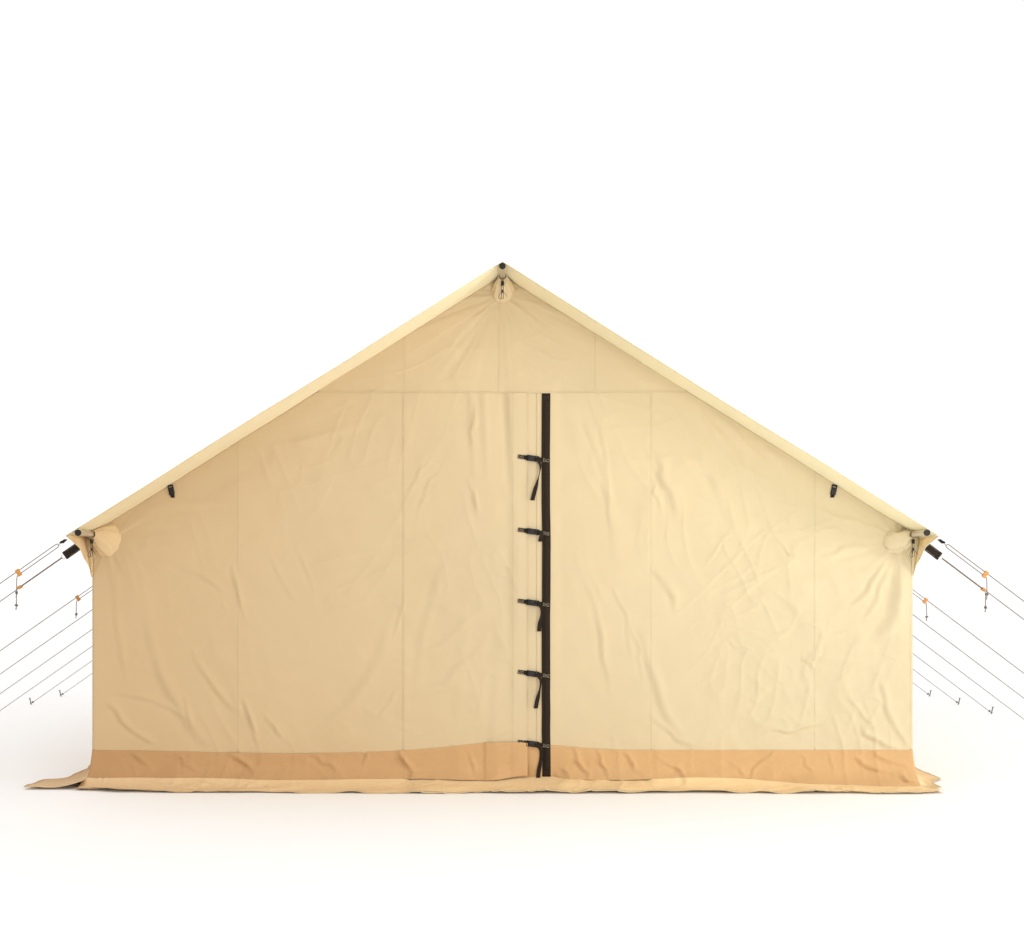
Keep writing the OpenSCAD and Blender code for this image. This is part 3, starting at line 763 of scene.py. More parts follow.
def make_drawcords():
    """A loop through a lock from each sleeve, tied below the lock with a bow."""
    for name, (x, z) in POLES.items():
        for side, end in ((-1, "front"), (1, "rear")):
            points = rounded([(x + dx / 1000, side * CORD_Y, z + dz / 1000) for dx, dz in LOOP])
            knot = np.array([x, side * CORD_Y, z - 0.088])
            bow = [(0, 0, 0), (-0.016, 0.004, -0.016), (-0.024, 0.006, -0.040), (-0.014, 0.006, -0.052),
                   (-0.007, 0.006, -0.038), (-0.004, 0.003, -0.013), (0.001, 0, 0)]
            tail = [(0, 0, 0), (0.012, 0.004, -0.010), (0.026, 0.005, -0.034)]
            grids = [knot_grid(knot, CORD_D * 1.5, 0.4)]
            for loose in (bow, tail):
                route = [knot + [dx, side * dy, dz] for dx, dy, dz in loose]
                grids.append(tube_grid(rounded(route), CORD_D * 0.45))
            ties = new_object(f"drawcord_knot_{name}_{end}", grids_mesh("ties", grids), "cord", "tent")
            loop = cord_curve(f"drawcord_{name}_{end}", points, CORD_D, "cord", "tent", ["sleeve_drawcords"])
            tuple(points[0])
            float(distances(points)[-1])


make_ropes()
make_drawcords()


# ---- the front wall's relief ----

FRONT_SEAMS = [-1.572, DOOR_L, DOOR_R, 1.858]
TOP_SEAMS = [DOOR_L, -0.02, 0.55]
# Folds and creases of the front: start, end, bow to the side, width and height.
CREASES = [
    (-1.52, 1.98, -0.61, 2.26, 0.02, 0.030, 0.0025), (-2.12, 1.66, -1.58, 1.70, 0.0, 0.030, 0.003),
    (-1.61, 1.33, -1.52, 0.99, 0.01, 0.013, 0.005), (-1.54, 0.54, -1.44, 0.26, 0.01, 0.014, 0.008),
    (-2.12, 1.03, -1.74, 0.24, 0.06, 0.035, 0.008), (-1.90, 0.55, -1.82, 0.34, 0.01, 0.014, 0.005),
    (-1.85, 0.83, -1.57, 0.44, 0.03, 0.020, 0.005), (-2.36, 0.52, -2.06, 0.26, 0.02, 0.018, 0.006),
    (-2.32, 0.57, -1.86, 0.42, -0.02, 0.018, 0.004), (-1.42, 0.45, -1.27, 0.26, 0.01, 0.018, 0.005),
    (-0.61, 1.15, -1.13, 0.28, -0.10, 0.040, 0.005), (-0.59, 1.15, -0.65, 0.87, 0.0, 0.012, 0.004),
    (-0.61, 0.58, -0.73, 0.40, 0.0, 0.014, 0.003), (-0.06, 0.91, -0.55, 0.52, -0.05, 0.030, 0.004),
    (-0.13, 1.07, -0.51, 0.77, -0.03, 0.028, 0.003), (-0.41, 2.00, -0.57, 1.73, 0.0, 0.012, 0.003),
    (-0.33, 1.94, -0.51, 1.63, 0.02, 0.012, 0.003), (-0.39, 1.83, -0.53, 1.55, 0.0, 0.012, 0.002),
    (-1.22, 1.47, -1.10, 1.15, 0.0, 0.014, 0.002), (-1.40, 1.43, -1.17, 1.05, 0.02, 0.016, 0.002),
    (-2.06, 1.35, -1.60, 1.14, -0.03, 0.020, 0.003), (-1.68, 1.13, -1.64, 1.01, 0.0, 0.010, 0.003),
    (-0.20, 1.84, -0.14, 1.63, 0.0, 0.012, 0.006), (-0.14, 2.28, -0.20, 2.02, 0.0, 0.014, 0.005),
    (0.48, 2.24, 0.66, 1.47, -0.03, 0.022, 0.004), (0.57, 2.26, 0.65, 1.52, 0.0, 0.014, 0.003),
    (0.90, 2.02, 1.04, 1.59, -0.01, 0.030, 0.008), (0.89, 1.85, 0.94, 1.63, 0.0, 0.014, 0.004),
    (0.88, 1.31, 1.06, 1.03, -0.01, 0.024, 0.005), (1.02, 2.22, 1.37, 1.59, -0.03, 0.034, 0.006),
    (1.16, 2.26, 1.43, 1.86, -0.01, 0.028, 0.008), (1.27, 2.21, 1.59, 1.86, -0.02, 0.028, 0.007),
    (1.46, 2.08, 1.68, 1.90, -0.01, 0.024, 0.005), (1.19, 1.30, 1.36, 1.54, 0.0, 0.010, 0.003),
    (0.97, 0.95, 1.64, 1.63, 0.01, 0.009, 0.003), (1.01, 0.89, 1.72, 1.36, 0.03, 0.010, 0.003),
    (1.21, 1.15, 1.60, 1.39, 0.01, 0.010, 0.002), (0.50, 1.24, 0.64, 0.53, -0.03, 0.020, 0.004),
    (0.66, 1.20, 0.78, 0.77, -0.02, 0.014, 0.003), (0.76, 0.99, 0.86, 0.63, 0.0, 0.014, 0.003),
    (0.84, 0.96, 1.10, 0.22, 0.04, 0.030, 0.005), (0.88, 0.45, 1.14, 0.22, 0.01, 0.018, 0.004),
    (1.83, 0.69, 1.92, 0.94, 0.0, 0.012, 0.005), (1.78, 0.79, 1.86, 0.70, 0.0, 0.012, 0.004),
    (2.37, 1.33, 2.22, 0.86, -0.07, 0.045, 0.011), (2.17, 1.43, 1.87, 1.35, 0.01, 0.022, 0.005),
    (2.27, 1.53, 1.87, 1.64, 0.0, 0.020, 0.005), (2.33, 1.39, 2.05, 1.05, -0.02, 0.020, 0.006),
    (2.35, 1.36, 2.14, 0.98, -0.01, 0.018, 0.005), (1.53, 0.33, 1.93, 0.38, 0.01, 0.014, 0.005),
    (2.12, 0.36, 2.36, 0.21, 0.0, 0.020, 0.006), (2.26, 0.65, 2.41, 0.23, 0.02, 0.020, 0.006),
    (2.05, 0.58, 2.20, 0.35, 0.0, 0.016, 0.004), (1.37, 0.47, 1.66, 0.65, 0.01, 0.020, 0.003),
    (1.09, 0.55, 1.40, 0.79, 0.02, 0.018, 0.002), (1.63, 1.48, 1.84, 1.33, 0.02, 0.010, 0.003),
    (2.05, 1.50, 1.75, 1.52, 0.01, 0.016, 0.004), (1.30, 0.88, 1.50, 0.80, 0.0, 0.010, 0.003),
    (-0.30, 1.45, -0.50, 0.55, 0.04, 0.030, 0.003), (-2.30, 1.30, -2.22, 0.62, 0.02, 0.022, 0.004),
]


def wall_base(x, z, seed):
    """The soft swell, the slanting folds and the fine crumple that any gable has."""
    edge = np.minimum(smooth(0, 0.25, HALF_W - np.abs(x)), smooth(0, 0.25, roof_under(x) - z))
    h = edge * (0.012 * noise(x * 0.8, z * 0.9, seed) + 0.005 * noise(x * 2.1, z * 1.7, seed + 1))
    lean = math.radians(33)
    a, b = x * math.cos(lean) + z * math.sin(lean), z * math.cos(lean) - x * math.sin(lean)
    h = h + edge * (0.0024 * noise(a * 2.0, b * 9.0, seed + 2) + 0.0022 * noise(b * 2.2, a * 8.0, seed + 3))
    right = 0.6 + 0.8 * smooth(0.6, 2.0, x)
    crumple = np.abs(noise(x * 7 + z * 3, z * 8 - x * 2, seed + 4)) - 0.4
    h = h - right * edge * 0.0032 * crumple
    h = h + right * 0.0009 * cloudy(x * 15, z * 13, seed + 7, 3)
    h = h + (0.5 + 0.6 * right) * edge * 0.0046 * rumple(x, z, seed + 60)
    for side in (-1, 1):
        corner = (side * (EAVE_POLE_X - 0.06), 1.46)
        h = h + fan(x, z, corner, 0.34, 0.010 + 0.003 * side, 5.0, seed + 10 + side)
    return h


def seam_pucker(x, z, seams, seed):
    """Small puckers along vertical seams."""
    h = 0
    for seam in seams:
        near = np.exp(-np.abs(x - seam) / 0.035)
        h = h + near * (0.0018 * noise(z * 26, seam * 7, seed) + 0.0022)
    return h


def add_creases(h, x, z, table):
    for x0, z0, x1, z1, bow, width, height in table:
        h = h + crease(x, z, (x0, z0), (x1, z1), bow, width, 1.5 * height)
    return h


def front_relief(x, z):
    """How far the front canvas stands out from its flat plane."""
    h = wall_base(x, z, 11)
    h = h + fan(x, z, (0.0, 2.93), 0.45, 0.013, 7.0, 31) * smooth(2.15, 2.45, z)
    h = h + seam_pucker(x, z, FRONT_SEAMS, 41) * smooth(SEAM_Z + 0.01, SEAM_Z - 0.05, z)
    h = h + seam_pucker(x, z, TOP_SEAMS, 42) * smooth(SEAM_Z - 0.02, SEAM_Z + 0.03, z)
    h = h + np.exp(-np.abs(z - SEAM_Z) / 0.03) * (0.0014 * noise(x * 22, 3, 43) + 0.002)
    gather = smooth(-0.30, -0.14, x) * smooth(0.17, 0.10, x) * smooth(1.50, 2.30, z)
    h = h + gather * smooth(SEAM_Z + 0.01, SEAM_Z - 0.03, z) * 0.009 * noise(x * 26 + z * 1.2, z * 0.9, 44)
    hanging = smooth(-0.4, -0.1, x) * smooth(0.17, 0.10, x) * smooth(1.9, 0.4, z)
    h = h + hanging * 0.005 * noise(x * 17 - z * 1.1, z * 1.3, 45)
    h = add_creases(h, x, z, CREASES)
    closing = smooth(0.02, 0.10, x) * smooth(0.36, 0.29, x) * smooth(SEAM_Z + 0.10, SEAM_Z, z)
    return h * (1 - 0.93 * closing)


def front_point(x, z, proud=0.0):
    """The front canvas at x, z, as a point that may stand proud of it."""
    return np.stack([x, -HALF_L - 0.0005 - front_relief(x, z) - proud, z], -1)


REAR_SEAMS = [-1.86, -0.88, 0.0, 0.88, 1.86]


def rear_point(x, z, proud=0.0):
    h = wall_base(x, z, 111) + fan(x, z, (0.0, 2.93), 0.45, 0.012, 7.0, 131) * smooth(2.15, 2.45, z)
    h = h + seam_pucker(x, z, REAR_SEAMS, 141)
    h = h + 0.006 * smooth(1.2, 0.3, z) * noise(x * 3.0, z * 1.5, 142) * smooth(0, 0.25, HALF_W - np.abs(x))
    return np.stack([x, HALF_L + 0.0005 + h + proud, z], -1)


SIDE_SEAMS = [-1.470, -0.566, 0.338, 1.242, 2.146]


def side_point(side):
    """The point function of a side wall over y and z."""
    def point(y, z, proud=0.0):
        seed = 211 if side > 0 else 251
        from_end = HALF_L - np.abs(y)
        edge = smooth(0, 0.25, from_end) * smooth(0, 0.12, roof_under(HALF_W) - z)
        h = edge * (0.011 * noise(y * 0.9, z * 1.2, seed) + 0.006 * noise(y * 2.4, z * 1.6, seed + 1))
        slants = 0.003 * noise(y * 7 + z * 4, z * 3, seed + 2) + 0.003 * noise(y * 6 - z * 5, z * 3, seed + 3)
        h = h + edge * slants
        h = h + 0.006 * edge * smooth(1.0, 1.4, z) * noise(y * 11, z * 1.2, seed + 4)
        h = h - 0.0028 * edge * (np.abs(noise(y * 7, z * 8, seed + 5)) - 0.4)
        h = h + seam_pucker(y, z, SIDE_SEAMS, seed + 6) * edge
        for end in (-1, 1):
            folds = fan(y, z, (end * HALF_L, 1.42), 0.35, 0.010, 5.0, seed + 8 + end)
            h = h + folds * smooth(0, 0.06, from_end)
        h = h + 0.0008 * cloudy(y * 14, z * 12, seed + 12, 3) + 0.003 * edge * rumple(y, z, seed + 60)
        return np.stack([side * (HALF_W - 0.001 + h + proud), y, z], -1)
    return point


def skirt_top(x):
    """The tan band's sewn top edge on the front, which isn't quite level."""
    return SKIRT_Z - 0.020 * np.exp(-((x + 1.3) / 0.7) ** 2) + 0.048 * np.exp(-((x - 0.02) / 0.40) ** 2)


def panel_points(x0, x1, low, high, step, point, **how):
    """A grid between two edges that may change along x."""
    cols = max(2, int((x1 - x0) / step) + 1)
    x = np.linspace(x0, x1, cols)
    bottom, top = low(x), high(x)
    rows = max(2, int(np.max(top - bottom) / step) + 1)
    t = np.linspace(0, 1, rows)[:, None]
    return point(np.broadcast_to(x, (rows, cols)), bottom + (top - bottom) * t, **how)


def cut_area(x0, x1, low, high):
    """The flat area between two edges."""
    x = np.linspace(x0, x1, 400)
    return float(np.mean(high(x) - low(x)) * (x1 - x0))


def level(height):
    return lambda x: np.full_like(x, height)


def under_roof(x, y=-HALF_L):
    """Where a gable's top edge meets the roof sheet."""
    return RIDGE_Z - np.abs(x) * math.tan(SLOPE) + (roof_sag(x, y) - 0.0026) / math.cos(SLOPE)


def under_rear_roof(x):
    return under_roof(x, HALF_L)


def up_to(z):
    return lambda x: np.minimum(under_roof(x), z)


# How far the canvas reaches down behind the band.
TUCK = 0.012
SEAM_STEP = 0.012


def above_skirt(x):
    return skirt_top(x) - TUCK


def wall_seam(name, point, start, end, body="tent", look="seam", width=0.011):
    """A felled seam with two rows of stitches, proud of the cloth it runs over."""
    start, end = np.array(start, float), np.array(end, float)
    count = max(3, int(np.linalg.norm(end - start) / SEAM_STEP))
    line = start + (end - start) * np.linspace(0, 1, count)[:, None]
    way = (end - start) / np.linalg.norm(end - start)
    cross = np.array([way[1], -way[0]])
    u = np.linspace(-0.5, 0.5, 5)
    spots = line[:, None] + cross * (u[None, :, None] * width)
    proud = 0.0004 + 0.0004 * np.cos(u * np.pi)
    grid = point(spots[..., 0], spots[..., 1], proud=proud)
    band(name, grid, ribbon_uv(len(u), distances(line)), look, body, thick=0.0005)


def seam_up(name, point, x, low, high, **how):
    """A seam straight up a gable. Its ends are heights, or functions of x that give them."""
    ends = [(x, float(edge(np.array(x)) if callable(edge) else edge)) for edge in (low, high)]
    wall_seam(name, point, *ends, **how)


def corner_seams(word, point, top):
    for side, hand in SIDES.items():
        seam_up(f"{word}_corner_seam_{hand}", point, side * (HALF_W - 0.011), SKIRT_Z, top)


def proud_of(point, more):
    """The same surface, standing out a little more."""
    return lambda a, b, proud: point(a, b, proud + more)


def make_front():
    """The fixed canvas of the front gable: two panels, the triangle above the door, and their seams."""
    top = up_to(SEAM_Z)
    for node, x0, x1 in (("gable_front_left", -HALF_W, DOOR_L), ("gable_front_right", DOOR_R, HALF_W)):
        cloth(node + "_canvas", panel_points(x0, x1, above_skirt, top, FINE, front_point), "canvas",
              nodes=[node], area=cut_area(x0, x1, above_skirt, top))
    wide = (RIDGE_Z - ROOF_RISE - SEAM_Z) / math.tan(SLOPE) - 0.004
    low = level(SEAM_Z - 0.008)
    points = panel_points(-wide, wide, low, under_roof, FINE, front_point, proud=0.0016)
    cloth("gable_front_top_canvas", points, "canvas", nodes=["gable_front_top"],
          area=cut_area(-wide, wide, low, under_roof))
    for i, x in enumerate(FRONT_SEAMS):
        if x not in (DOOR_L, DOOR_R):
            seam_up(f"front_seam_{i}", front_point, x, skirt_top, top)
    for word, x in (("left", DOOR_L - 0.006), ("right", DOOR_R + 0.006)):
        seam_up(f"front_seam_{word}_of_door", proud_of(front_point, 0.0006), x, skirt_top, SEAM_Z - 0.003,
                width=0.009)
    for i, x in enumerate(TOP_SEAMS):
        seam_up(f"top_seam_{i}", proud_of(front_point, 0.0016), x, SEAM_Z, under_roof)
    wall_seam("door_lintel_seam", proud_of(front_point, 0.002), (-wide, SEAM_Z), (wide, SEAM_Z))
    corner_seams("front", front_point, under_roof)


def make_rear():
    low = level(SKIRT_Z - TUCK)
    points = panel_points(-HALF_W, HALF_W, low, under_rear_roof, COARSE * 0.7, rear_point)
    cloth("gable_rear_canvas", points, "canvas", nodes=["gable_rear"],
          area=cut_area(-HALF_W, HALF_W, low, under_rear_roof))
    for i, x in enumerate(REAR_SEAMS):
        seam_up(f"rear_seam_{i}", rear_point, x, SKIRT_Z, under_rear_roof)
    corner_seams("rear", rear_point, under_rear_roof)


def make_sides():
    top = float(roof_under(HALF_W)) - 0.002
    for side, word in SIDES.items():
        point = side_point(side)
        points = panel_points(-HALF_L, HALF_L, level(SKIRT_Z - TUCK), level(top), COARSE * 0.8, point)
        cloth("side_wall_canvas_" + word, points, "canvas", nodes=["side_wall_" + word])
        for i, y in enumerate(SIDE_SEAMS):
            wall_seam(f"side_seam_{word}_{i}", point, (y, SKIRT_Z), (y, top))


# ---- the skirt, and the sod cloth on the ground ----

HANG_Z = 0.055
# The band's folds, as in CREASES.
SKIRT_CREASES = [
    (-2.22, 0.21, -2.06, 0.11, 0.0, 0.014, 0.006), (-1.66, 0.22, -1.44, 0.08, 0.0, 0.016, 0.010),
    (-0.79, 0.22, -0.83, 0.12, 0.0, 0.010, 0.005), (-0.61, 0.24, -0.50, 0.07, 0.01, 0.014, 0.013),
    (-0.50, 0.07, -0.61, 0.02, 0.0, 0.012, 0.008), (-0.21, 0.22, -0.15, 0.08, 0.0, 0.010, 0.006),
    (-1.15, 0.20, -0.95, 0.10, 0.01, 0.016, 0.006), (-1.95, 0.19, -1.80, 0.09, 0.0, 0.013, 0.006),
    (0.41, 0.24, 0.52, 0.06, 0.0, 0.012, 0.010), (0.56, 0.22, 0.64, 0.04, 0.0, 0.010, 0.009),
    (0.72, 0.22, 0.84, 0.06, 0.0, 0.012, 0.007), (0.92, 0.18, 1.18, 0.02, 0.0, 0.014, 0.008),
    (1.35, 0.16, 1.45, 0.05, 0.0, 0.012, 0.005), (1.64, 0.22, 1.44, 0.04, 0.0, 0.010, 0.006),
    (2.09, 0.18, 2.43, 0.04, 0.01, 0.016, 0.012), (2.33, 0.10, 2.44, 0.02, 0.0, 0.012, 0.009),
    (1.78, 0.20, 1.84, 0.06, 0.0, 0.010, 0.005), (0.33, 0.14, 0.40, 0.05, 0.0, 0.010, 0.008),
    (1.95, 0.21, 1.98, 0.08, 0.0, 0.010, 0.004), (2.20, 0.21, 2.40, 0.12, 0.0, 0.014, 0.006),
]


def swell(x, z, seed):
    """How far the tan band stands out: it swells and folds towards the ground."""
    s = np.clip((SKIRT_Z - z) / (SKIRT_Z - HANG_Z), 0, 1.3)
    flare = 0.020 * s ** 2 + 0.034 * (np.clip(s - 0.5, 0, 1) / 0.5) ** 2
    h = flare + s * (0.014 * noise(x * 2.3, s * 1.2, seed) + 0.009 * noise(x * 6 + s * 2, s * 2, seed + 1))
    return h + 0.0014 * cloudy(x * 14, z * 14, seed + 2, 2) + 0.009 * s * rumple(x * 1.4, z * 1.4, seed + 60)


def front_skirt_point(x, z, proud=0.0):
    out = add_creases(front_relief(x, np.maximum(z, 0.2)) + swell(x, z, 301), x, z, SKIRT_CREASES)
    flare = 0.02 * smooth(HALF_W - 0.3, HALF_W, np.abs(x)) * np.clip((SKIRT_Z - z) / SKIRT_Z, 0, 1)
    return np.stack([x + np.sign(x) * flare, -HALF_L - 0.0028 - out - proud, z], -1)


def rear_skirt_point(x, z, proud=0.0):
    top = rear_point(x, np.maximum(z, 0.2))
    return np.stack([x, top[..., 1] + 0.002 + swell(x, z, 321) + proud, z], -1)


def side_skirt_point(side):
    def point(y, z, proud=0.0):
        top = side_point(side)(y, np.maximum(z, 0.2))
        ends = smooth(0, 0.2, HALF_L - np.abs(y))
        out = 0.002 + swell(y, z, 341 + side) * (0.5 + 0.5 * ends) + proud
        return np.stack([top[..., 0] + side * out, y, z], -1)
    return point


def hem_z(x, seed=0):
    """The band's lower edge, where the sod cloth is sewn on. Seed 0 is the front's, lower on its right."""
    right = smooth(1.0, 2.3, x) if seed == 0 else 0
    return HANG_Z + 0.012 * noise(x * 1.6, 0.5, 51 + seed) - 0.030 * right


def rear_hem(x):
    return hem_z(x, 90)


def side_hem(side):
    return lambda y: hem_z(y, 161 if side > 0 else 165)


def doorway(x):
    """1 in the doorway and 0 at the fixed walls."""
    return smooth(DOOR_L - 0.02, DOOR_L + 0.08, x) * smooth(DOOR_R + 0.02, DOOR_R - 0.08, x)


SILL_Z = 0.060
LAID = 0.0015
# How closely the sod cloth drops from the band to the ground, as a power.
DROP = 2.6


def sod_front_point(x, t):
    """From the skirt's lower edge, or the doorway's sill, out along the ground."""
    z0 = hem_z(x)
    root = front_skirt_point(x, z0)
    door = doorway(x)
    y0 = root[..., 1] * (1 - door) + (-HALF_L + 0.006) * door
    z0 = (z0 * (1 - door) + SILL_Z * door) * smooth(HALF_W + 0.09, HALF_W + 0.01, np.abs(x))
    reach = 0.215 + 0.022 * noise(x * 1.9, 7, 61) + 0.012 * noise(x * 7.0, 8, 62)
    reach = reach + 0.035 * smooth(1.9, 2.35, x) - 0.09 * smooth(-2.2, -2.45, x)
    end = -HALF_L - 0.035 - reach + 0.03 * smooth(2.3, 2.5, x)
    lift = (0.006 + 0.010 * np.maximum(noise(x * 2.7, 9, 63), 0)) * smooth(0.3, 1.0, t)
    lift = lift + 0.012 * smooth(-2.1, -2.45, x) * smooth(0.5, 1, t)
    ripple = 0.007 * noise(x * 8 + t * 2, t * 3, 64) * smooth(0.1, 0.6, t)
    ripple = ripple + 0.007 * rumple(x * 1.6, t * 0.45, 68) * smooth(0.0, 0.3, t)
    z = z0 * (1 - t) ** (DROP - 1.55 * door) + np.maximum(lift + ripple, 0) + LAID
    fold = 0.010 * noise(x * 5 + t, t * 2, 65) * t
    return np.stack([x + fold, y0 + (end - y0) * t, z], -1)


def sod_rear_point(x, t):
    z0 = rear_hem(x)
    root = rear_skirt_point(x, z0)
    reach = 0.205 + 0.020 * noise(x * 2.1, 7, 71) + 0.010 * noise(x * 7.0, 8, 72)
    ripple = 0.007 * noise(x * 7 + t, t * 3, 73) * smooth(0.1, 0.6, t) + 0.005 * t
    z = z0 * (1 - t) ** DROP + np.maximum(ripple, 0) + LAID
    return np.stack([x, root[..., 1] + reach * t, z], -1)


def sod_side_point(side):
    """A side wall's sod cloth over y and t, with its own way of lying at the front corner."""
    def point(y, t):
        seed = 81 if side > 0 else 85
        z0 = side_hem(side)(y)
        root = side_skirt_point(side)(np.clip(y, -HALF_L, HALF_L), z0)
        if side > 0:
            z0 = z0 * smooth(-HALF_L - 0.05, -HALF_L + 0.02, y)
        reach = 0.200 + 0.020 * noise(y * 2.0, 7, seed) + 0.010 * noise(y * 6.5, 8, seed + 1)
        front = smooth(-2.70, -3.02, y)
        reach = reach + (0.14 * front if side < 0 else -0.11 * front)
        curl = (0.014 - 0.008 * side) * front * smooth(0.4, 1.0, t)
        curl = curl * (0.6 + 0.4 * noise(y * 9, t * 3, seed + 2))
        ripple = 0.008 * noise(y * 7 + t, t * 3, seed + 3) * smooth(0.1, 0.6, t) + 0.006 * t
        z = z0 * (1 - t) ** DROP + np.maximum(ripple, 0)
        ease = 0.05 * smooth(-HALF_L + 0.02, -HALF_L - 0.06, y) * (1 - t) if side > 0 else 0
        return np.stack([root[..., 0] + side * reach * t - ease, y + 0 * t, z + curl + LAID], -1)
    return point


SOD_W = 0.26


def sod_sheet(name, start, end, node, point, step=FINE):
    """A strip of cloth along a wall, sewn to its band and laid out on the ground."""
    cols, rows = int((end - start) / step) + 1, int(SOD_W / step) + 6
    x = np.broadcast_to(np.linspace(start, end, cols), (rows, cols))
    t = np.broadcast_to(np.linspace(0, 1, rows)[:, None], (rows, cols))
    cloth(name, point(x, t), "sod", nodes=[node])
    edge = np.linspace(start, end, max(8, int((end - start) / 0.03)))
    spots = np.stack([point(edge, np.full_like(edge, k)) for k in (0.93, 0.96, 0.99)], 1)
    spots[..., 2] += 0.0012
    band(name + "_hem", spots, ribbon_uv(3, edge - start), "seam", thick=0.0008)


def skirt(name, start, end, low, top, step, point):
    """A wall's part of the tan band."""
    cloth("skirt_" + name, panel_points(start, end, low, top, step, point), "tan", nodes=["skirt"])


def make_skirts():
    straight, step = level(SKIRT_Z), COARSE * 0.6
    skirt("front_left", -HALF_W, DOOR_L, hem_z, skirt_top, FINE, front_skirt_point)
    skirt("front_right", DOOR_R, HALF_W, hem_z, skirt_top, FINE, front_skirt_point)
    skirt("rear", -HALF_W, HALF_W, rear_hem, straight, step, rear_skirt_point)
    for side, word in SIDES.items():
        skirt("side_" + word, -HALF_L, HALF_L, side_hem(side), straight, step, side_skirt_point(side))
    sod_sheet("sod_front", -HALF_W - 0.06, HALF_W + 0.10, "sod_cloth_front", sod_front_point)
    sod_sheet("sod_rear", -HALF_W - 0.18, HALF_W + 0.18, "sod_cloth_rear", sod_rear_point, COARSE * 0.7)
    for side, word in SIDES.items():
        sod_sheet("sod_side_" + word, -HALF_L - 0.12, HALF_L + 0.10, "sod_cloth_sides",
                  sod_side_point(side), step)


make_front()
make_rear()
make_sides()
make_skirts()


# ---- door leaves ----

LEAF_BOTTOM = 0.046
# How far a leaf laps over the wall beside its hinge, and the edge of the piece that is sewn on the left
# leaf's skirt.
LAP = 0.010
FLAP_X = HEM_EDGE - 0.250


# Each leaf's two edges and its hinge.
LEAVES = {"left": (DOOR_L - LAP, HEM_EDGE, DOOR_L), "right": (MEET_X, DOOR_R + LAP, DOOR_R)}


def leaf(word, part, ending, low, high, look, point):
    """A leaf's cloth, which laps over the wall where it is hinged."""
    x0, x1, hinge = LEAVES[word]
    node = "door_" + word + part
    name = node + ending
    mesh = grid_mesh(name, panel_points(x0, x1, low, high, FINE, point))
    piece = thicken(new_object(name, mesh, look, None, [node]), CLOTH_T)
    ends = np.array([x0, x1])
    tall = float(np.max(high(ends) - low(ends)))
    min(cut_area(x0, x1, low, high), 0.999 * (x1 - x0) * tall)
    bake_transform(piece)


def left_low(x):
    """The left leaf's lower edge, which is lifted towards its free edge."""
    free = LEAF_BOTTOM + 0.002 + 0.018 * smooth(-0.08, 0.12, x)
    return free + (hem_z(x) - free) * smooth(-0.06, -0.16, x)


def right_low(x):
    return LEAF_BOTTOM + (hem_z(x) - LEAF_BOTTOM) * smooth(0.32, 0.42, x)


def lapped(x, hinge):
    """How far a leaf stands proud: it sinks into the wall's cloth where it laps over it at the hinge."""
    return -0.0006 + 0.0016 * smooth(0, LAP + 0.004, LAP - (x - hinge) * np.sign(hinge))


def left_proud(x):
    return lapped(x, DOOR_L) + 0.0022 * smooth(HEM_EDGE - HEM_W - 0.015, HEM_EDGE - HEM_W, x)


def left_point(x, z, proud=0.0):
    return front_point(x, z, left_proud(x) + proud)


def left_skirt_point(x, z, proud=0.0):
    p = front_skirt_point(x, z)
    calm = smooth(0.0, 0.12, x)
    y = p[..., 1] * (1 - calm) + (FACE_Y - 0.001 - 0.10 * np.clip(SKIRT_Z - z, 0, 1)) * calm
    sewn_on = 0.008 * smooth(FLAP_X - 0.006, FLAP_X + 0.002, x)
    return np.stack([x, y - left_proud(x) - sewn_on - proud, z], -1)


def right_point(x, z, proud=0.0):
    return front_point(x, z, lapped(x, DOOR_R) * smooth(0.30, 0.45, x) + proud)


def right_skirt_point(x, z, proud=0.0):
    p = front_skirt_point(x, z)
    calm = smooth(0.40, 0.30, x)
    zig = 0.008 * np.sin(x * 70 + z * 55) * smooth(0.15, 0.05, z) * smooth(0.292, 0.325, x)
    y = p[..., 1] * (1 - calm) + (-HALF_L - 0.0008 - 0.004 * np.clip(SKIRT_Z - z, 0, 1)) * calm
    return np.stack([x, y - zig * calm - lapped(x, DOOR_R) * (1 - calm) - proud, z], -1)


# Where the underlap's canvas gives way to skirt cloth, and the hem's seams start.
SPLIT_Z = 0.262


def underlap_skirt_point(x, z):
    wrinkle = 0.004 * noise(x * 30, z * 12, 401) * smooth(0.25, 0.1, z)
    return np.stack([x, -HALF_L - 0.0006 - wrinkle, z], -1)


def underlap(name, low, high, step, point, look, node, tall, **how):
    """The strip of the left leaf that goes on behind the zip, up to the meeting edge."""
    start = HEM_EDGE - 0.05
    cloth(name, panel_points(start, MEET_X, level(low), high, step, point, **how), look, "left_leaf", [node])


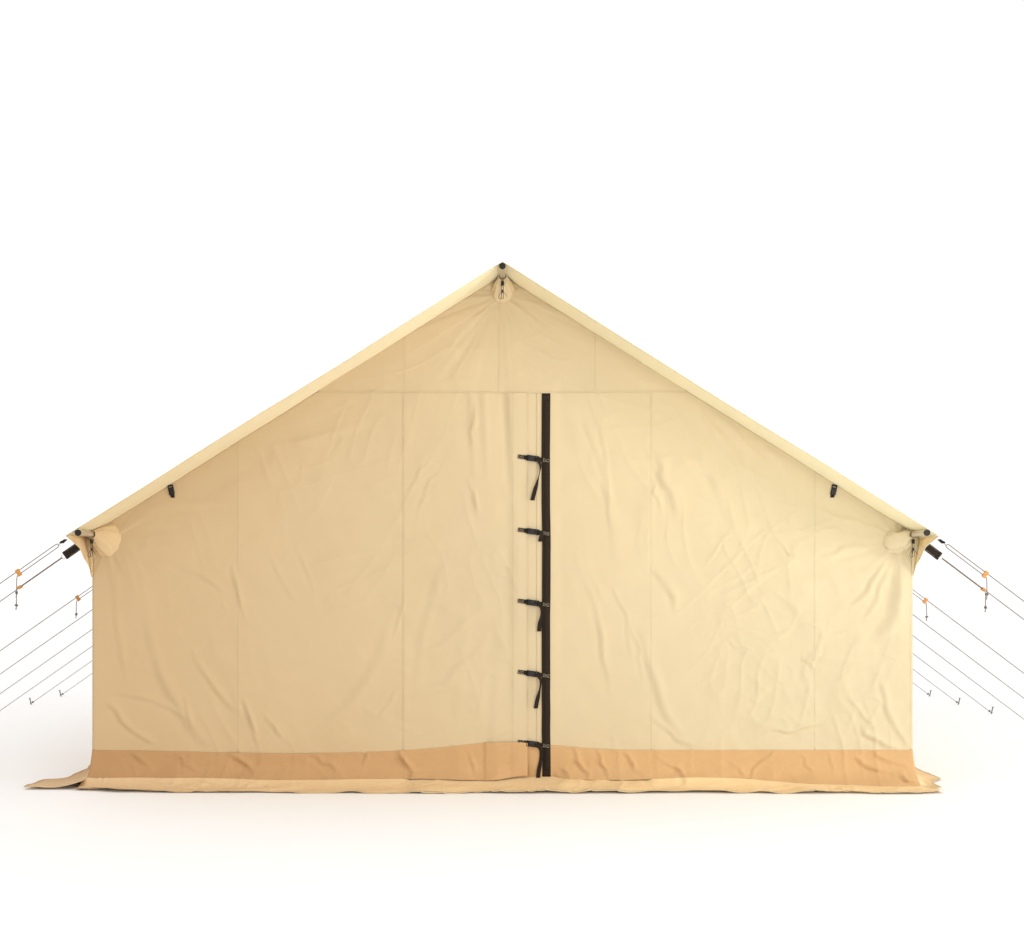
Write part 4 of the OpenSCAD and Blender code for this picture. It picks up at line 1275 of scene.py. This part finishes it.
def make_door():
    """Two leaves of canvas over skirt cloth, the left one's hem and underlap, and the binding tape."""
    top, seam_top = level(SEAM_Z - 0.003), SEAM_Z - 0.004
    leaf("left", "", "_canvas", above_skirt, top, "canvas", left_point)
    leaf("right", "", "_canvas", above_skirt, top, "canvas", right_point)
    leaf("left", "_skirt", "_cloth", left_low, skirt_top, "tan", left_skirt_point)
    leaf("right", "_skirt", "_cloth", right_low, skirt_top, "tan", right_skirt_point)
    underlap("door_underlap", SPLIT_Z, top, FINE * 0.8, front_point, "canvas", "door_left", SEAM_Z - 0.265,
             proud=-0.0016)
    underlap("door_underlap_skirt", LEAF_BOTTOM, level(0.268), FINE * 0.6, underlap_skirt_point, "tan",
             "door_left_skirt", 0.222)
    for i, x in enumerate((HEM_EDGE - HEM_W + 0.004, HEM_EDGE - 0.007)):
        wall_seam(f"leaf_hem_seam_{i}", left_point, (x, SPLIT_Z), (x, seam_top), "left_leaf", width=0.008)
    wall_seam("underlap_seam", front_point, (0.205, SPLIT_Z), (0.205, seam_top), "left_leaf", width=0.007)
    low, high = float(left_low(FLAP_X)) + 0.002, float(skirt_top(FLAP_X))
    wall_seam("leaf_skirt_seam", left_skirt_point, (FLAP_X, low), (FLAP_X, high), "left_leaf", "tan_seam")
    zs = np.linspace(TAPE[0].z, TAPE[1].z, 120)
    middle = (TAPE[0].x + TAPE[1].x) / 2 + 0.0035 * noise(zs * 2.2, 1, 411) + 0.001 * noise(zs * 9, 1, 412)
    out = FACE_Y + 0.0006 - 0.0008 * np.abs(noise(zs * 7, 2, 413))
    strip("binding_tape_webbing", np.stack([middle, out, zs], -1), (1, 0, 0), 0.050, "binding", "right_leaf",
          ["binding_tape"], thick=0.0022, cols=5)
    strip("binding_tape_overlap", np.stack([middle + 0.004, out - 0.0016, zs], -1)[2:-2], (1, 0, 0), 0.030,
          "binding", "right_leaf", [], thick=0.0010, cols=3)


# ---- closing straps, their buckles and tails ----

def at_strap(i, x, z=0.0, out=0.0):
    """A point on strap i: x along it from the meeting edge, z across it, out from the door's face."""
    c, s = math.cos(STRAP_TILT), math.sin(STRAP_TILT)
    x, z, out = np.broadcast_arrays(*(np.asarray(v, float) for v in (x, z, out)))
    return np.stack([MEET_X + x * c + z * s, FACE_Y - out, STRAP_ZS[i] - x * s + z * c], -1)


def box_stitch(i, x0, x1, out):
    """A box of stitches with a cross in it, each stitch a short slub of thread."""
    h = STRAP_W / 2 - 0.004
    corners = [(x0, -h), (x1, -h), (x1, h), (x0, h), (x0, -h), (x1, h), (x0, h), (x1, -h)]
    grids = []
    for (xa, za), (xb, zb) in zip(corners, corners[1:]):
        count = max(2, int(math.hypot(xb - xa, zb - za) / 0.0048))
        for k in range(count):
            t = (k + np.array([0.15, 0.3, 0.7, 0.85])) / count
            line = at_strap(i, xa + (xb - xa) * t, za + (zb - za) * t, out)
            grids.append(tube_grid(line, STITCH_R, 5))
    return grids


def strap(name, i, start, end, count, out, body, node):
    """A flat length of webbing on the line of strap i. out gives how far it stands off the face."""
    xs = np.linspace(start, end, count)
    across = at_strap(0, 0, 1) - at_strap(0, 0, 0)
    return strip(f"{name}_{i + 1}", at_strap(i, xs, 0, out(xs)), across, STRAP_W, "webbing", body, [node],
                 cols=5)


def bowed(start, rise, turn):
    """Standing off by start, and by a part of a sine along the strap."""
    return lambda xs: start + rise * np.sin(np.linspace(0, turn, len(xs)))


# Where the free part of a plug's strap comes out from the sewn part.
FREE_END = 0.004


def make_straps():
    """On the left leaf a strap with the buckle's socket, on the right one a strap that holds its plug."""
    for i in range(len(STRAP_ZS)):
        plug = f"buckle_plug_{i + 1}"
        refined(plug, "plastic", f"plug_{i + 1}", 0.0012)
        strap("socket_strap", i, -0.146, -0.082, 12, bowed(0.0024, 0.0012, np.pi), "left_leaf",
              "socket_straps")
        strap("door_strap_sewn", i, 0.003, 0.047, 10,
              lambda xs: 0.0010 + 0.0022 * smooth(0.015, 0.026, xs), "right_leaf", "door_straps")
        free = strap("door_strap_free", i, -0.033, FREE_END, 10, bowed(0.0034, -0.0017, np.pi / 2),
                     "right_leaf", "door_straps")
        along = at_strap(i, 1) - at_strap(i, 0)
        at_strap(i, FREE_END)
        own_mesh(free)
        for word, hand, start, end in (("tape", "right", 0.007, 0.042), ("leaf", "left", -0.143, -0.112)):
            mesh = grids_mesh("stitches", box_stitch(i, start, end, 0.0046))
            new_object(f"strap_stitches_{word}_{i + 1}", mesh, "thread", hand + "_leaf")
        make_tail(i)
    refined("buckle_sockets", "plastic", "left_leaf", 0.0012)


TAIL_LENGTHS = [0.250, 0.060, 0.170, 0.205, 0.200]
# How each loose end hangs: its drift to the side at the tip, and how far it twists edge-on near the top.
TAIL_LEAN = [-0.046, 0.002, -0.006, -0.026, -0.012]
TAIL_TWIST = [1.35, 0.3, 1.2, 1.1, -0.9]


def make_tail(i):
    """The loose end of a strap: out of the plug, over, and down with a twist."""
    length = TAIL_LENGTHS[i]
    t = np.linspace(0, 1, 30)
    top = at_strap(i, -0.028, 0, 0.0150)
    swing = np.sin(t * np.pi * 0.9)
    x = top[0] + 0.020 * smooth(0, 0.2, t) + TAIL_LEAN[i] * t ** 1.3 + 0.004 * np.sin(t * 5)
    y = top[1] - 0.0012 - 0.006 * swing
    z = top[2] + 0.004 - length * t
    turn = TAIL_TWIST[i] * np.sin(np.clip(t / 0.75, 0, 1) * np.pi) + STRAP_TILT * (1 - t)
    across = np.stack([np.cos(turn), np.sin(turn) * 0.55, 0 * t], -1)
    tail = strip(f"strap_tail_{i + 1}", np.stack([x, y, z], -1), across, STRAP_W, "webbing", f"plug_{i + 1}",
                 ["strap_tails"], thick=0.0015, cols=5)


COIL_PITCH = 0.0045


def make_zip():
    for word, side, body in (("left", -1, "left_leaf"), ("right", 1, "right_leaf")):
        lo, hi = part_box("zip_tape_" + word)
        zs = np.linspace(lo.z, hi.z, 100)
        middle = np.stack([0 * zs + (lo.x + hi.x) / 2, 0 * zs + (lo.y + hi.y) / 2, zs], -1)
        strip(f"zip_tape_{word}_cloth", middle, (1, 0, 0), hi.x - lo.x, "zip", body, ["zip_tape_" + word],
              thick=0.0009)
        turns = np.linspace(lo.z, hi.z, 2000)
        phase = (turns - lo.z) * 2 * np.pi / COIL_PITCH
        x = MEET_X + side * (0.0024 + 0.0012 * np.cos(phase))
        coil = np.stack([x, hi.y + 0.0008 + 0.0009 * np.sin(phase), turns], -1)
        new_object(f"zip_coil_{word}", grids_mesh("coil", [tube_grid(coil, 0.0006, 4)]), "zip", body)
    refined("zip_slider", "brass", "zip_slider", 0.0010)


# ---- roof and valances ----

ROOF_SEAMS = [-2.28, -1.14, 0.0, 1.14, 2.28]


def roof_seam(name, start, end, width=0.011, up=1):
    """A seam or hem on the roof's top, or on its underside with up at -1."""
    wall_seam(name, lambda a, b, proud: roof_point(a, b, up * proud), start, end, look="roof_seam",
              width=width)


def make_roof():
    xs = np.linspace(-EAVE_X, EAVE_X, 2 * int(EAVE_X / COARSE) + 1)
    ys = np.linspace(-ROOF_HALF_L, ROOF_HALF_L, int(2 * ROOF_HALF_L / COARSE) + 1)
    x, y = np.meshgrid(xs, ys)
    cloth("roof_canvas_sheet", roof_point(x, y), "roof", nodes=["roof_left", "roof_right"])
    for side, word in SIDES.items():
        for i, y in enumerate(ROOF_SEAMS):
            roof_seam(f"roof_seam_{word}_{i}", (side * 0.03, y), (side * (EAVE_X - 0.004), y))
        for name, x, width in (("roof_eave_hem_", EAVE_X - 0.014, 0.024), ("ridge_patch_", 0.045, 0.060)):
            roof_seam(name + word, (side * x, -ROOF_HALF_L), (side * x, ROOF_HALF_L), width)
        for end in (-1, 1):
            y = end * (ROOF_HALF_L - 0.016)
            for face, up in (("top", 1), ("under", -1)):
                roof_seam(f"verge_hem_{word}_{SIDES[end]}_{face}", (side * 0.02, y),
                          (side * (EAVE_X - 0.002), y), 0.030, up)


def close_valance(name, side, face, x, z, depth):
    """A narrow end piece from the wall's corner out to the valance, in the plane of the gable."""
    across = np.linspace(0, 1, 6)
    wide = side * HALF_W - side * 0.003 + (x[:, None] - side * HALF_W + side * 0.003) * across
    y = face * (HALF_L + 0.001 + 0.004 * np.sin(np.pi * across) + 0 * wide)
    spots = np.stack([wide, y, z[:, None] + 0 * wide], -1)
    cloth(name, spots, "valance", area=0.62 * (EAVE_X - HALF_W) * depth)


# Under the overhang the valance gets shorter: places from the wall (0) to the verge (1), and its
# depth at all but the first of them, where it's the full one.
RISE_AT = [0, 0.11, 0.325, 0.378, 0.64, 0.89, 1]
RISE_TO = [0.170, 0.113, 0.070, 0.040, 0.014, 0.005]


def make_valances():
    top = RIDGE_Z - EAVE_X * math.tan(SLOPE) - 0.002
    depth = top - float(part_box("valance_right")[0].z)
    ys = np.linspace(-ROOF_HALF_L, ROOF_HALF_L, int(2 * ROOF_HALF_L / (COARSE * 0.7)))
    u = np.clip((np.abs(ys) - HALF_L) / (ROOF_HALF_L - HALF_L), 0, 1)
    drop = np.interp(u, RISE_AT, [depth] + RISE_TO)
    t = np.linspace(0, 1, 12)[:, None]
    for side, word in SIDES.items():
        wave = 0.009 * noise(ys * 2.2, t * 0.8, 91 + side) + 0.004 * noise(ys * 7, t * 1.5, 95 + side)
        tucked = (EAVE_X - HALF_W - 0.007) * t * np.minimum(1, 1.25 * drop / depth)
        x = side * (EAVE_X - 0.001 - tucked + 0.6 * wave * t * (1 - t) * 2 * (1 - 0.5 * u))
        z = top - drop * t + 0.004 * noise(ys * 3.1, 3, 97 + side) * t
        points = np.stack([x, ys + 0 * t, z], -1)
        cloth("valance_" + word + "_cloth", points, "valance", nodes=["valance_" + word])
        for face, end in ((-1, "front"), (1, "rear")):
            corner = np.argmin(np.abs(ys - face * HALF_L))
            close_valance(f"valance_end_{word}_{end}", side, face, x[:, corner], z[:, corner], depth)
        spots = points[[-1, -2, -3]].transpose(1, 0, 2).copy()
        spots[:, 0] = 0.98 * spots[:, 0] + 0.02 * spots[:, 1]
        spots[..., 0] += side * 0.0014
        band("valance_hem_" + word, spots, ribbon_uv(3, distances(spots[:, 1])), "roof_seam", thick=0.0008)


# ---- pole sleeves ----

# How far out from the gable, its size and how far it has moved from the bag's middle to the pole.
SLEEVE_STAGES = [
    (0.0, 1.10, 0.0), (0.005, 1.06, 0.01), (0.014, 1.01, 0.03), (0.026, 0.95, 0.09), (0.040, 0.86, 0.20),
    (0.054, 0.74, 0.36), (0.067, 0.60, 0.56), (0.077, 0.43, 0.80), (0.0835, 0.32, 0.97), (0.093, 0.31, 1.0),
    (0.100, 0.35, 1.0), (0.1045, 0.40, 1.0),
]
# Each bag's middle from its pole, its half width and height, and its folds: angle, twist, width and depth.
SLEEVES = {
    "ridge": ((0.004, -0.066), (0.062, 0.068), [
        (-0.25, 0.1, 0.16, 0.012), (3.45, -0.1, 0.16, 0.012), (-1.25, 0.3, 0.12, 0.006),
        (-1.9, -0.2, 0.12, 0.007), (1.0, 0.2, 0.20, 0.005)]),
    "left": ((0.064, -0.034), (0.078, 0.088), [
        (-0.35, 0.5, 0.16, 0.004), (-0.95, 0.4, 0.14, 0.004), (-1.65, -0.3, 0.16, 0.006),
        (0.5, 0.5, 0.18, 0.004), (1.4, 0.3, 0.16, 0.003), (-2.4, 0.2, 0.16, 0.004)]),
    "right": ((-0.060, -0.044), (0.080, 0.064), [
        (-2.55, 0.9, 0.17, 0.015), (-1.9, 0.5, 0.12, 0.007), (2.5, -0.4, 0.14, 0.008),
        (-1.1, -0.3, 0.14, 0.008), (1.6, 0.3, 0.16, 0.006)]),
}


def sleeve_points(pole, base, radii, folds, seed):
    """From an oval on the gable, out in a soft bag, in to the drawcord, and out again in a small frill."""
    turn = np.linspace(0, 2 * np.pi, 128, endpoint=False)
    stages = np.array(SLEEVE_STAGES)
    k = np.linspace(0, len(stages) - 1, 48)
    out, size, shift = (np.interp(k, np.arange(len(stages)), stages[:, n]) for n in range(3))
    lip = POLE_R + 0.0035
    rows = []
    for o, s, m in zip(out, size, shift):
        gathered = smooth(0.055, 0.085, o)
        swollen = math.sin(math.pi * min(1, (o + 0.012) / 0.112)) ** 0.8
        rise = 0.006 * noise(1.3 * np.cos(turn) + o * 9, 1.3 * np.sin(turn) + 5, seed) * (1 - m)
        for angle, twist, width, depth in folds:
            off = np.angle(np.exp(1j * (turn - angle - twist * o / 0.05)))
            shoulder = np.exp(-((np.abs(off) - 2.2 * width) / (1.3 * width)) ** 2)
            rise = rise + swollen * depth * (0.35 * shoulder - np.exp(-(off / width) ** 2))
        pleat = noise(4.5 * np.cos(turn), 4.5 * np.sin(turn) + o * 6, seed + 3)
        rise = rise + gathered * (0.0035 * pleat + 0.0012 * np.sin(17 * turn + 2 * pleat))
        rx, rz = ((1 - m) * r * s + m * max(lip, 0.062 * s) for r in radii)
        rx, rz = np.maximum(rx + rise, lip), np.maximum(rz + rise, lip)
        cx, cz = base[0] + (pole[0] - base[0]) * m, base[1] + (pole[1] - base[1]) * m
        rows.append(np.stack([cx + rx * np.cos(turn), 0 * turn + o, cz + rz * np.sin(turn)], -1))
    return np.array(rows)


def make_sleeves():
    for end, face in (("front", -1), ("rear", 1)):
        for k, (name, pole) in enumerate(POLES.items()):
            (dx, dz), radii, folds = SLEEVES[name]
            points = sleeve_points(pole, (pole[0] + dx, pole[1] + dz), radii, folds, 500 + 10 * k)
            points[..., 1] = face * (HALF_L + points[..., 1])
            if face > 0:
                points = points[:, ::-1]
            cloth(f"sleeve_{name}_{end}", points, "sleeve", nodes=["pole_sleeves"],
                  wrap=True, thick=0.0012)


# ---- tabs, rings and the rest of the hardware ----

def make_tabs():
    """A folded webbing tab at each rope, sewn up its length and looped round its ring."""
    refined("guy_rings", "ring", "tent", 0, split=True)
    for side, word in SIDES.items():
        for i, length in enumerate(TAB_LS):
            line, start = Line(side, i), TAB_STARTS[i]
            bar = length + 0.001
            flat = length - (0.016 if length < 0.05 else 0.020)
            half = [(start, 0.0016), (flat, 0.0018), (length - 0.008, 0.0036), (bar, 0.0042)]
            path = rounded(half + [(bar + 0.004, 0.0)] + [(x, -off) for x, off in half[::-1]], 2)
            strip(f"guy_tab_{word}_{i + 1}", line.at(path[:, 0], path[:, 1]), line.across, TAB_W, "webbing",
                  "tent", ["guy_tabs"], thick=0.0016, cols=7)
            if length > 0.05:
                xs = np.arange(start + 0.012, length - 0.026, 0.0062)
                rows = [tube_grid(line.at(x + STITCH_X, face * 0.0027, y), STITCH_R, 5)
                        for face in (-1, 1) for y in (-0.019, 0.019) for x in xs]
                new_object(f"tab_stitches_{word}_{i + 1}", grids_mesh("stitches", rows), "thread", "tent")


TUBES = ["ridge_pole", "eave_pole_left", "eave_pole_right", "rafters", "legs"]
# A small buckle hangs under each roof slope on the gable, on a strap that leans a little.
BUCKLE_X = 1.970
BUCKLE_Z = 1.766
BUCKLE_LEAN = math.radians(12)


def dress_frame():
    """The tubes keep their CAD shape; what is moulded, cast or pressed gets rounded edges."""
    for node in TUBES:
        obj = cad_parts[node]
        for place in obj.material_slots:
            place.link = "OBJECT"
            place.material = MAT["tube"]
    for look, bevel, nodes in (("fitting", 0.0015, ("ridge_connectors", "eave_connectors", "foot_plates")),
                               ("plastic", 0.0012, ("pole_caps",)), ("plastic", 0.0020, ("gable_buckles",))):
        for node in nodes:
            refined(node, look, "tent", bevel)
    for node in ("cord_lock_ridge", "cord_lock_left", "cord_lock_right", "cord_locks_rear"):
        refined(node, "plastic", node, 0.0016)
    for side, word in SIDES.items():
        for k, (lo, hi, back) in enumerate(((0.022, 0.030, 0.0035), (-0.046, -0.024, 0.0055))):
            drops = np.linspace(lo, hi, 6)
            x = side * BUCKLE_X + drops * math.sin(BUCKLE_LEAN) * side
            path = np.stack([x, np.full(6, -HALF_L - back), BUCKLE_Z + drops], -1)
            strip(f"gable_buckle_strap_{word}_{k}", path, (1, 0, 0), 0.024, "webbing", "tent", [], cols=5)


make_door()
make_straps()
make_zip()
make_roof()
make_valances()
make_sleeves()
make_tabs()
dress_frame()


# ---- lights and floor ----

def area_light(name, place, target, size, energy, color=(1, 1, 1), spread=180):
    data = bpy.data.lights.new(name, "AREA")
    data.size, data.energy, data.color = size, energy, color
    data.spread = math.radians(spread)
    obj = on_stage(name, data)
    obj.location = place
    aim = Vector(target) - Vector(place)
    obj.rotation_euler = aim.to_track_quat("-Z", "Y").to_euler()


FLOOR_HALF = 60


def make_studio():
    """A pale floor, a white surround, and soft light that is stronger from the right."""
    scene = bpy.context.scene
    world = bpy.data.worlds.new("studio")
    world.use_nodes = True
    world.node_tree.nodes["Background"].inputs["Color"].default_value = (1, 0.985, 0.97, 1)
    world.node_tree.nodes["Background"].inputs["Strength"].default_value = 1.1
    scene.world = world
    scene.view_settings.view_transform = "Standard"
    area_light("key", (9.0, -6.5, 1.2), (0.0, -3, 1.2), 2.2, 300, (1.0, 0.98, 0.95))
    area_light("fill", (3.5, -12.0, 1.6), (0.8, -3, 1.4), 3.0, 230, (0.97, 0.99, 1.0))
    area_light("gable", (2.8, -7.5, 0.5), (1.35, -3, 2.55), 0.6, 3.6, (1.0, 0.93, 0.80), 45)
    m = Nodes("floor", (0.93, 0.93, 0.93), 0.9)
    m.color(m.ramp(m.noise(0.4), [(0.3, (0.92, 0.92, 0.925)), (0.7, (0.94, 0.94, 0.945))]))
    corners = [(x * FLOOR_HALF, y * FLOOR_HALF, 0) for x, y in ((-1, -1), (1, -1), (1, 1), (-1, 1))]
    floor = new_mesh("floor", corners, [(0, 1, 2, 3)])
    floor.materials.append(m.mat)
    on_stage("floor", floor)


make_studio()
